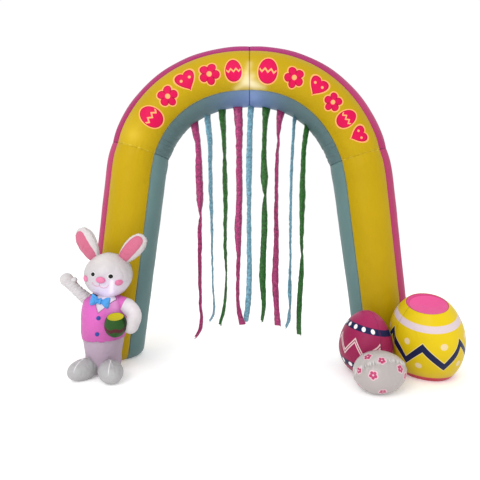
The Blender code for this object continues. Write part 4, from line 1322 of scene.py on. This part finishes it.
for foot in FEET:

    def foot_bag(u, v):
        turn, rise = tau * u, POLE * (2 * v - 1)
        side = Vector((cos(rise) * sin(turn), -cos(rise) * cos(turn), sin(rise)))
        spot = Vector((side.x * FOOT_HALF_WIDTH, side.y * foot.half_length, side.z * FOOT_HALF_HEIGHT))
        top = max(0.0, side.z)
        spot.z += 0.0050 * top * exp(-((side.x / 0.05) ** 2))
        ridge = exp(-abs(side.x) / 0.25) * top
        spot.z += 0.0022 * ridge * ripple(Vector((abs(side.x) * 0.6, side.y * 1.6, 0)), 0.20, 27)
        spot *= 1 + 0.020 * ripple(spot, 0.05, 28) * min(1.0, 1 + side.z)
        spot = Matrix.Rotation(radians(foot.turn), 3, "Z") @ spot + foot.centre
        return Vector((spot.x, spot.y, max(0.0, spot.z)))

    bag = wrap_cloth(f"rabbit_foot_{foot.name}_bag", 64, 84, foot_bag, (0, -pi / 2), (tau, pi / 2))
    # painted shade: the feet's white cloth is given a darker colour than the body's
    foot_cloth = cloth_material(f"white cloth {foot.name} foot", (0.365, 0.36, 0.365), crease=0.05, shine=0.3,
                                crease_depth=0.0022, print_and_painted_light=ridge_highlight(foot.seam_turn), uv_size=0.09)
    stuff(bag, foot_cloth, [f"rabbit_foot_{foot.name}"], "white_cloth")

# ---------------------------------------------------------------- pot
# The rabbit holds a little stuffed pot of green cloth with a dished yellow top.
POT = Vector((-0.893, -0.540, 0.372))
POT_RADIUS, POT_HALF_HEIGHT, POT_CUT = 0.073, 0.088, 0.060
POT_LID_INSET, POT_DISH = 0.985, 0.008
POT_CLOTH = 0.0015
pot_place = Matrix.Translation(POT) @ Euler((radians(17), radians(4), 0)).to_matrix().to_4x4()
pot_rim = POT_RADIUS * sqrt(1 - (POT_CUT / POT_HALF_HEIGHT) ** 2)
pot_top = asin(POT_CUT / POT_HALF_HEIGHT)


def pot_bag(u, v):
    turn = tau * (u - 0.5)
    rise = v * (pot_top + pi / 2) - POLE
    radius = POT_RADIUS * cos(rise)
    spot = Vector((radius * sin(turn), -radius * cos(turn), POT_HALF_HEIGHT * sin(rise)))
    spot *= 1 + 0.012 * ripple(spot, 0.04, 30)
    return pot_place @ spot


def pot_lid(u, v):
    turn, reach = tau * u, pot_rim * v * POT_LID_INSET
    dish = POT_DISH * (1 - v * v) + 0.0008
    return pot_place @ Vector((reach * cos(turn), reach * sin(turn), POT_CUT - dish))


def pot_print(net, uv, place, base):
    """A wavy dark red band, and cloth that is darker toward the sides."""
    turn, rise, _ = net.split(uv)
    wave = (turn * 6.0).sine() * 0.0055
    band = (rise.sine() * POT_HALF_HEIGHT - wave).near(-0.010, 0.0135, 0.002)
    edge = (turn + tau).fold(pi / 2).near(pi / 2, 0.42, 0.25)
    return net.paint(base, (band, (0.070, 0.010, 0.016, 1)), (edge * 0.85, (0.004, 0.016, 0.005, 1)))


green_cloth = cloth_material("green pot cloth", (0.017, 0.068, 0.011), crease=0.04, print_and_painted_light=pot_print,
                             seam=side_seam(0.07), uv_size=0.07)
gold_cloth = cloth_material("yellow top cloth", (0.48, 0.42, 0.008), crease=0.04)
pot = wrap_cloth("rabbit_pot_bag", 48, 72, pot_bag, BALL_LOW, (pi, pot_top))
give_thickness(pot, POT_CLOTH)
stuff(pot, green_cloth, ["rabbit_pot"], "green_cloth")
lid = wrap_cloth("rabbit_pot_lid", 16, 72, pot_lid)
face_toward(lid, UP)
give_thickness(lid, POT_CLOTH)
stuff(lid, gold_cloth, ["rabbit_pot_top"], "yellow_cloth")

# ---------------------------------------------------------------- eggs
# Three eggs of coated cloth, sewn from gores and kept full by the leg behind them: a big yellow one
# with its top cut open like a cup, a magenta one and a white one lying on its side.
Egg = namedtuple("Egg", "centre radii tilt taper")
YELLOW_EGG = Egg(Vector((1.227, -0.420, 0.250)), (0.244, 0.262, 0.325), (18, -6, 0), 0.0)
MAGENTA_EGG = Egg(Vector((0.822, -0.375, 0.207)), (0.180, 0.218, 0.224), (0, 5, 0), 0.13)
WHITE_EGG = Egg(Vector((0.811, -0.722, 0.123)), (0.128, 0.145, 0.163), (0, 82, 0), 0.06)
YELLOW_TOP_UP = 0.272
YELLOW_LID_INSET, YELLOW_DISH = 0.992, 0.022
YELLOW_BASE_Z = 0.030
EGG_FOLD = 0.010
yellow_top = asin(YELLOW_TOP_UP / YELLOW_EGG.radii[2])


def egg_place(egg):
    return Matrix.Translation(egg.centre) @ Euler([radians(a) for a in egg.tilt]).to_matrix().to_4x4()


def egg_point(egg, turn, rise, swell=1.0):
    """A point of an egg: turn goes round its axis from the front, rise from -90 to 90 degrees."""
    narrow = 1 - egg.taper * sin(rise)
    reach = cos(rise) * narrow
    spot = Vector((reach * sin(turn) * egg.radii[0], -reach * cos(turn) * egg.radii[1],
                   sin(rise) * egg.radii[2]))
    return egg_place(egg) @ (spot * swell)


def clear_of_egg(egg, point, gap=0.0015):
    """Cloth that leans on another egg is pushed out to that egg's surface."""
    local = egg_place(egg).inverted() @ point
    for _ in range(2):
        narrow = 1 - egg.taper * max(-1.0, min(1.0, local.z / egg.radii[2]))
        size = Vector((local.x / (egg.radii[0] * narrow), local.y / (egg.radii[1] * narrow),
                       local.z / egg.radii[2])).length
        wanted = 1 + gap / min(egg.radii)
        if size < wanted:
            local *= wanted / max(size, 0.2)
    return egg_place(egg) @ local


def egg_wrinkles(turn, rise, seam, seed, depth=EGG_FOLD):
    """Puckers beside the gore seams, and low folds elsewhere."""
    near = min(abs((turn - seam + pi) % tau - pi), abs((turn - seam) % tau - pi))
    puckers = exp(-near / 0.16) * ripple(Vector((near * 0.8, rise * 3.2, seed)), 0.30, seed)
    folds = 0.8 * ripple(Vector((turn, rise, seed)), 0.55, seed + 1)
    return depth * (puckers + folds - 0.6 * exp(-near / 0.02))


def yellow_bag(u, v):
    turn = tau * (u - 0.5)
    rise = v * (yellow_top + pi / 2) - POLE
    full = min(1.0, (1 - v) / 0.06)
    swell = 1 + full * egg_wrinkles(turn, rise, radians(-80), 31)
    point = clear_of_leg(SIDES[1], egg_point(YELLOW_EGG, turn, rise, swell))
    return Vector((point.x, point.y, max(point.z, CLOTH)))


def yellow_lid(u, v):
    turn = tau * u
    rim = cos(yellow_top) * YELLOW_LID_INSET * v
    dish = YELLOW_DISH * (1 - v * v) + 0.0012
    waves = 0.003 * ripple(Vector((cos(turn) * v, sin(turn) * v, 0)), 0.5, 33) * (1 - v ** 4)
    width, depth, _ = YELLOW_EGG.radii
    spot = Vector((rim * cos(turn) * width, rim * sin(turn) * depth, YELLOW_TOP_UP - dish + waves))
    return egg_place(YELLOW_EGG) @ spot


def magenta_bag(u, v):
    turn, rise = ball_angles(u, v)
    point = egg_point(MAGENTA_EGG, turn, rise, 1 + egg_wrinkles(turn, rise, radians(14), 35))
    point = clear_of_leg(SIDES[1], clear_of_egg(YELLOW_EGG, point))
    return Vector((point.x, point.y, max(point.z, 0.0)))


# the white egg's waist seam lies across its front; a point's height over it counts up and back
WAIST_UP = Vector((-0.10, 0.70, 0.70)).normalized()
WHITE_FOLD = 0.0042


def white_bag(u, v):
    turn, rise = ball_angles(u, v)
    point = egg_point(WHITE_EGG, turn, rise)
    from_middle = point - WHITE_EGG.centre
    over = from_middle.dot(WAIST_UP)
    along = atan2(from_middle.x, (from_middle - WAIST_UP * over).dot(Vector((0, -0.7, 0.7))))
    fold = 2.2 * exp(-(over / 0.024) ** 2) * ripple(Vector((along, over * 2.0, 0)), 0.070, 39)
    fold += 0.4 * ripple(Vector((turn, rise, 37)), 0.55, 38) - 0.5 * exp(-(over / 0.004) ** 2)
    point += from_middle.normalized() * WHITE_FOLD * fold
    point = clear_of_egg(MAGENTA_EGG, point, 0.003)
    return Vector((point.x, point.y, max(point.z, 0.0)))


NAVY = (0.005, 0.008, 0.050, 1)
PALE = (0.66, 0.50, 0.50, 1)
YELLOW_ZIGZAGS = 7
MAGENTA_ZIGZAGS = 8
MAGENTA_DOTS = 15


def zigzag(turn, height, start, count, low, rise, half_turn_length):
    """How far a place is from a zigzag line that is lowest at start."""
    step = pi / count
    line = (turn + (tau - start)).fold(step) * (rise / step) + low
    return abs(height - line) / hypot(1, rise / half_turn_length)


def dots(turn, height, start, count, level, radius, size):
    """A row of round dots at one height; size is the egg's radius there."""
    beside = (turn + (tau - start)).fold(pi / count) * size
    return length_of(beside, height - level).below(radius, 0.002)


def yellow_print(net, uv, place, base):
    """A band, a navy zigzag with a pale edge, dots above and below it, and a red strip at the floor."""
    turn, rise, _ = net.split(uv)
    height = rise.sine() * YELLOW_EGG.radii[2]
    turn = turn + turn.bell(0.45, 0.28) * -0.10
    turn = turn + turn.bell(-1.45, 0.30) * 0.20 + turn.bell(-0.65, 0.38) * 0.11
    upper = dots(turn, height, 0.02, YELLOW_ZIGZAGS, 0.095, 0.021, 0.245)
    lower = dots(turn, height, 0.385, YELLOW_ZIGZAGS, -0.052, 0.021, 0.255)
    bent = height + turn.bell(-1.45, 0.32) * -0.012 + turn.bell(-0.25, 0.45) * 0.014
    away = zigzag(turn, bent, 0.02, YELLOW_ZIGZAGS, -0.040, 0.134, 0.116)
    return net.paint(
        base,
        (height.near(0.196, 0.0195, 0.003), (0.50, 0.41, 0.52, 1)),
        (upper.calc("MAXIMUM", lower), (0.60, 0.48, 0.30, 1)),
        (away.below(0.0212, 0.002), (0.72, 0.60, 0.30, 1)),
        (away.below(0.0185, 0.002), NAVY),
        ((net.split(place)[2] - YELLOW_BASE_Z).below(0.004, 0.002), (0.44, 0.030, 0.055, 1)),
    )


def lid_shade_and_seam(net, uv, place, base):
    """Painted shade: the wall of the dish shows as a darker crescent edged with a darker line, and its seam
    as a dark rim.
    """
    turn, reach, _ = net.split(uv)
    away = length_of(reach * turn.cosine() - 0.055, reach * turn.sine() + 0.075)
    return net.paint(
        base,
        (away.above(0.93, 0.05) * 0.55, (0.50, 0.035, 0.150, 1)),
        (away.near(0.93, 0.015, 0.02) * 0.6, (0.35, 0.02, 0.07, 1)),
        (reach.above(0.965, 0.02) * 0.75, (0.36, 0.025, 0.07, 1)),
    )


def magenta_print(net, uv, place, base):
    """Two navy bands of pale dots, with a double zigzag between them."""
    turn, rise, _ = net.split(uv)
    height = rise.sine() * MAGENTA_EGG.radii[2] + turn.sine() * 0.014
    bent = turn + turn.bell(0.19, 0.30) * -0.165
    away = zigzag(bent, height, -0.367, MAGENTA_ZIGZAGS, -0.062, 0.098, 0.0746)
    double = away.below(0.0105, 0.002) - away.below(0.0030, 0.002)
    base = net.mix(double * (1.0 - turn.near(0.61, 0.40, 0.01)), base, PALE)
    printed = 1.0 - turn.near(0.50, 0.42, 0.01)
    for level, half in ((0.116, 0.0190), (-0.135, 0.0200)):
        spots = dots(turn, height, -0.075, MAGENTA_DOTS, level, 0.0145, 0.155) * printed
        base = net.paint(base, (height.near(level, half, 0.002), NAVY), (spots, (0.80, 0.76, 0.76, 1)))
    return base


# the white egg's flowers: angle round its axis and angle from its blunt end in degrees, and radius
WHITE_FLOWERS = (
    (-76, 65, 0.024), (-52, 90, 0.021), (-24, 128, 0.022), (-43, 31, 0.017), (-17, 63, 0.024),
    (12, 143, 0.019), (37, 80, 0.022), (65, 25, 0.016), (-120, 95, 0.024), (-150, 60, 0.022),
    (170, 100, 0.026), (125, 70, 0.022), (-110, 140, 0.020), (150, 135, 0.020),
)


def white_print_and_shading(net, uv, place, base):
    """Pink flowers all over, painted highlights and shade on the gathers along the waist seam, and painted
    shade on the cloth under it.
    """
    over = net.dot(net.vector("SUBTRACT", place, arch_middle + WHITE_EGG.centre), WAIST_UP)
    x, y, _ = net.split(place)
    # painted light on the gathers: pale streaks where they catch the light, dark ones where they fall in
    # shade
    gathers = net.noise(net.join(x * 120.0, over * 14.0, y * 20.0), 1.0, 1.0, 0.5).spread(0.40, 0.62)
    gathers = net.mix(gathers, (0.24, 0.22, 0.21, 1), (0.70, 0.68, 0.66, 1))
    # painted shade under the waist seam
    base = net.paint(base, (over.below(-0.004, 0.016) * 0.45, (0.30, 0.262, 0.25, 1)),
                     (over.near(0.0, 0.012, 0.016) * 0.50, gathers))
    flowers = []
    for turn, down, size in WHITE_FLOWERS:
        middle = egg_point(WHITE_EGG, radians(turn), radians(down - 90))
        outward = (middle - WHITE_EGG.centre).normalized()
        right = outward.cross(UP).normalized()
        away = net.vector("SUBTRACT", place, arch_middle + middle)
        x, y, depth = (net.dot(away, axis) for axis in (right, right.cross(outward), outward))
        flowers.append(("flower", net.join(x, y), (0, 0, 0), size, depth.below(-0.05, 0.002)))
    edge, mark = printed_motifs(net, flowers)
    inside = edge.below(0.0, 0.002)
    return net.paint(
        base,
        (edge.below(0.006, 0.004), (0.64, 0.42, 0.47, 1)),
        (inside, (0.40, 0.020, 0.110, 1)),
        (mark * inside, (0.62, 0.36, 0.42, 1)),
    )


yellow_egg_cloth = cloth_material(
    "yellow egg cloth", (0.54, 0.385, 0.003), crease=0.12, print_and_painted_light=yellow_print, seam=side_seam(0.25, 1.396),
    uv_size=0.25, lamps=(Lamp((1.24, -0.66, 0.42), 0.26, (0.17, 0.13, 0.0)),))
pink_top_cloth = cloth_material("pink top cloth", (0.70, 0.080, 0.27), crease=0.14, print_and_painted_light=lid_shade_and_seam)
magenta_cloth = cloth_material(
    "magenta egg cloth", (0.26, 0.012, 0.065), crease=0.12, print_and_painted_light=magenta_print,
    seam=side_seam(0.18, -0.245), uv_size=0.18,
    lamps=(Lamp((0.84, -0.42, 0.42), 0.13, (0.14, 0.015, 0.06)),))
white_egg_cloth = cloth_material(
    "white egg cloth", (0.43, 0.395, 0.385), 0.28, crease=0.06, crease_depth=0.0016, print_and_painted_light=white_print_and_shading,
    uv_size=0.14, shine=0.45)
egg = wrap_cloth("egg_yellow_bag", 120, 160, yellow_bag, BALL_LOW, (pi, yellow_top))
give_thickness(egg)
stuff(egg, yellow_egg_cloth, ["egg_yellow", "egg_yellow_base"], "yellow_cloth")
lid = wrap_cloth("egg_yellow_lid", 30, 120, yellow_lid, (0, 0), (tau, 1))
face_toward(lid, UP)
give_thickness(lid)
stuff(lid, pink_top_cloth, ["egg_yellow_top"], "pink_cloth")
for name, bag, material, slot in (
    ("magenta", magenta_bag, magenta_cloth, "magenta_cloth"),
    ("white", white_bag, white_egg_cloth, "white_cloth"),
):
    egg = wrap_cloth(f"egg_{name}_bag", 120, 160, bag, BALL_LOW, BALL_HIGH)
    stuff(egg, material, [f"egg_{name}"], slot)

# ---------------------------------------------------------------- ground, light and camera
# A pale floor, a soft sky of light all round, and a broad lamp in front and above.
bpy.ops.mesh.primitive_plane_add(size=60, location=(0, 0, 0))
ground = bpy.context.object
ground.name = "ground"
ground_finish = bpy.data.materials.new("pale floor")
ground_finish.use_nodes = True
floor = ground_finish.node_tree.nodes["Principled BSDF"].inputs
floor["Base Color"].default_value = (0.93, 0.93, 0.93, 1)
floor["Roughness"].default_value = 0.9
floor["Emission Color"].default_value = (1, 1, 1, 1)
floor["Emission Strength"].default_value = 0.20
ground.data.materials.append(ground_finish)

scene = bpy.context.scene
sky = bpy.data.worlds.new("soft sky")
scene.world = sky
sky.use_nodes = True
sky_light = sky.node_tree.nodes["Background"].inputs
sky_light["Color"].default_value = (1, 1, 1, 1)
sky_light["Strength"].default_value = 1.02
bpy.ops.object.light_add(type="AREA", location=(-2.5, -6, 5))
lamp = bpy.context.object
lamp.data.energy = 260
lamp.data.size = 4
lamp.rotation_euler = (Vector((0, 0.3, 1)) - lamp.location).to_track_quat("-Z", "Y").to_euler()
scene.view_settings.view_transform = "Standard"

FRAME_PIXELS = 480
FOCAL_PIXELS = 414
SHIFT_PIXELS = (-9.5, -17)
EYE = Vector((0, -3.303, 1.05))
bpy.ops.object.camera_add(location=arch_middle + EYE, rotation=(pi / 2, 0, 0))
camera = bpy.context.object
camera.data.sensor_width = 36
camera.data.lens = camera.data.sensor_width * FOCAL_PIXELS / FRAME_PIXELS
camera.data.shift_x, camera.data.shift_y = (shift / FRAME_PIXELS for shift in SHIFT_PIXELS)
scene.camera = camera
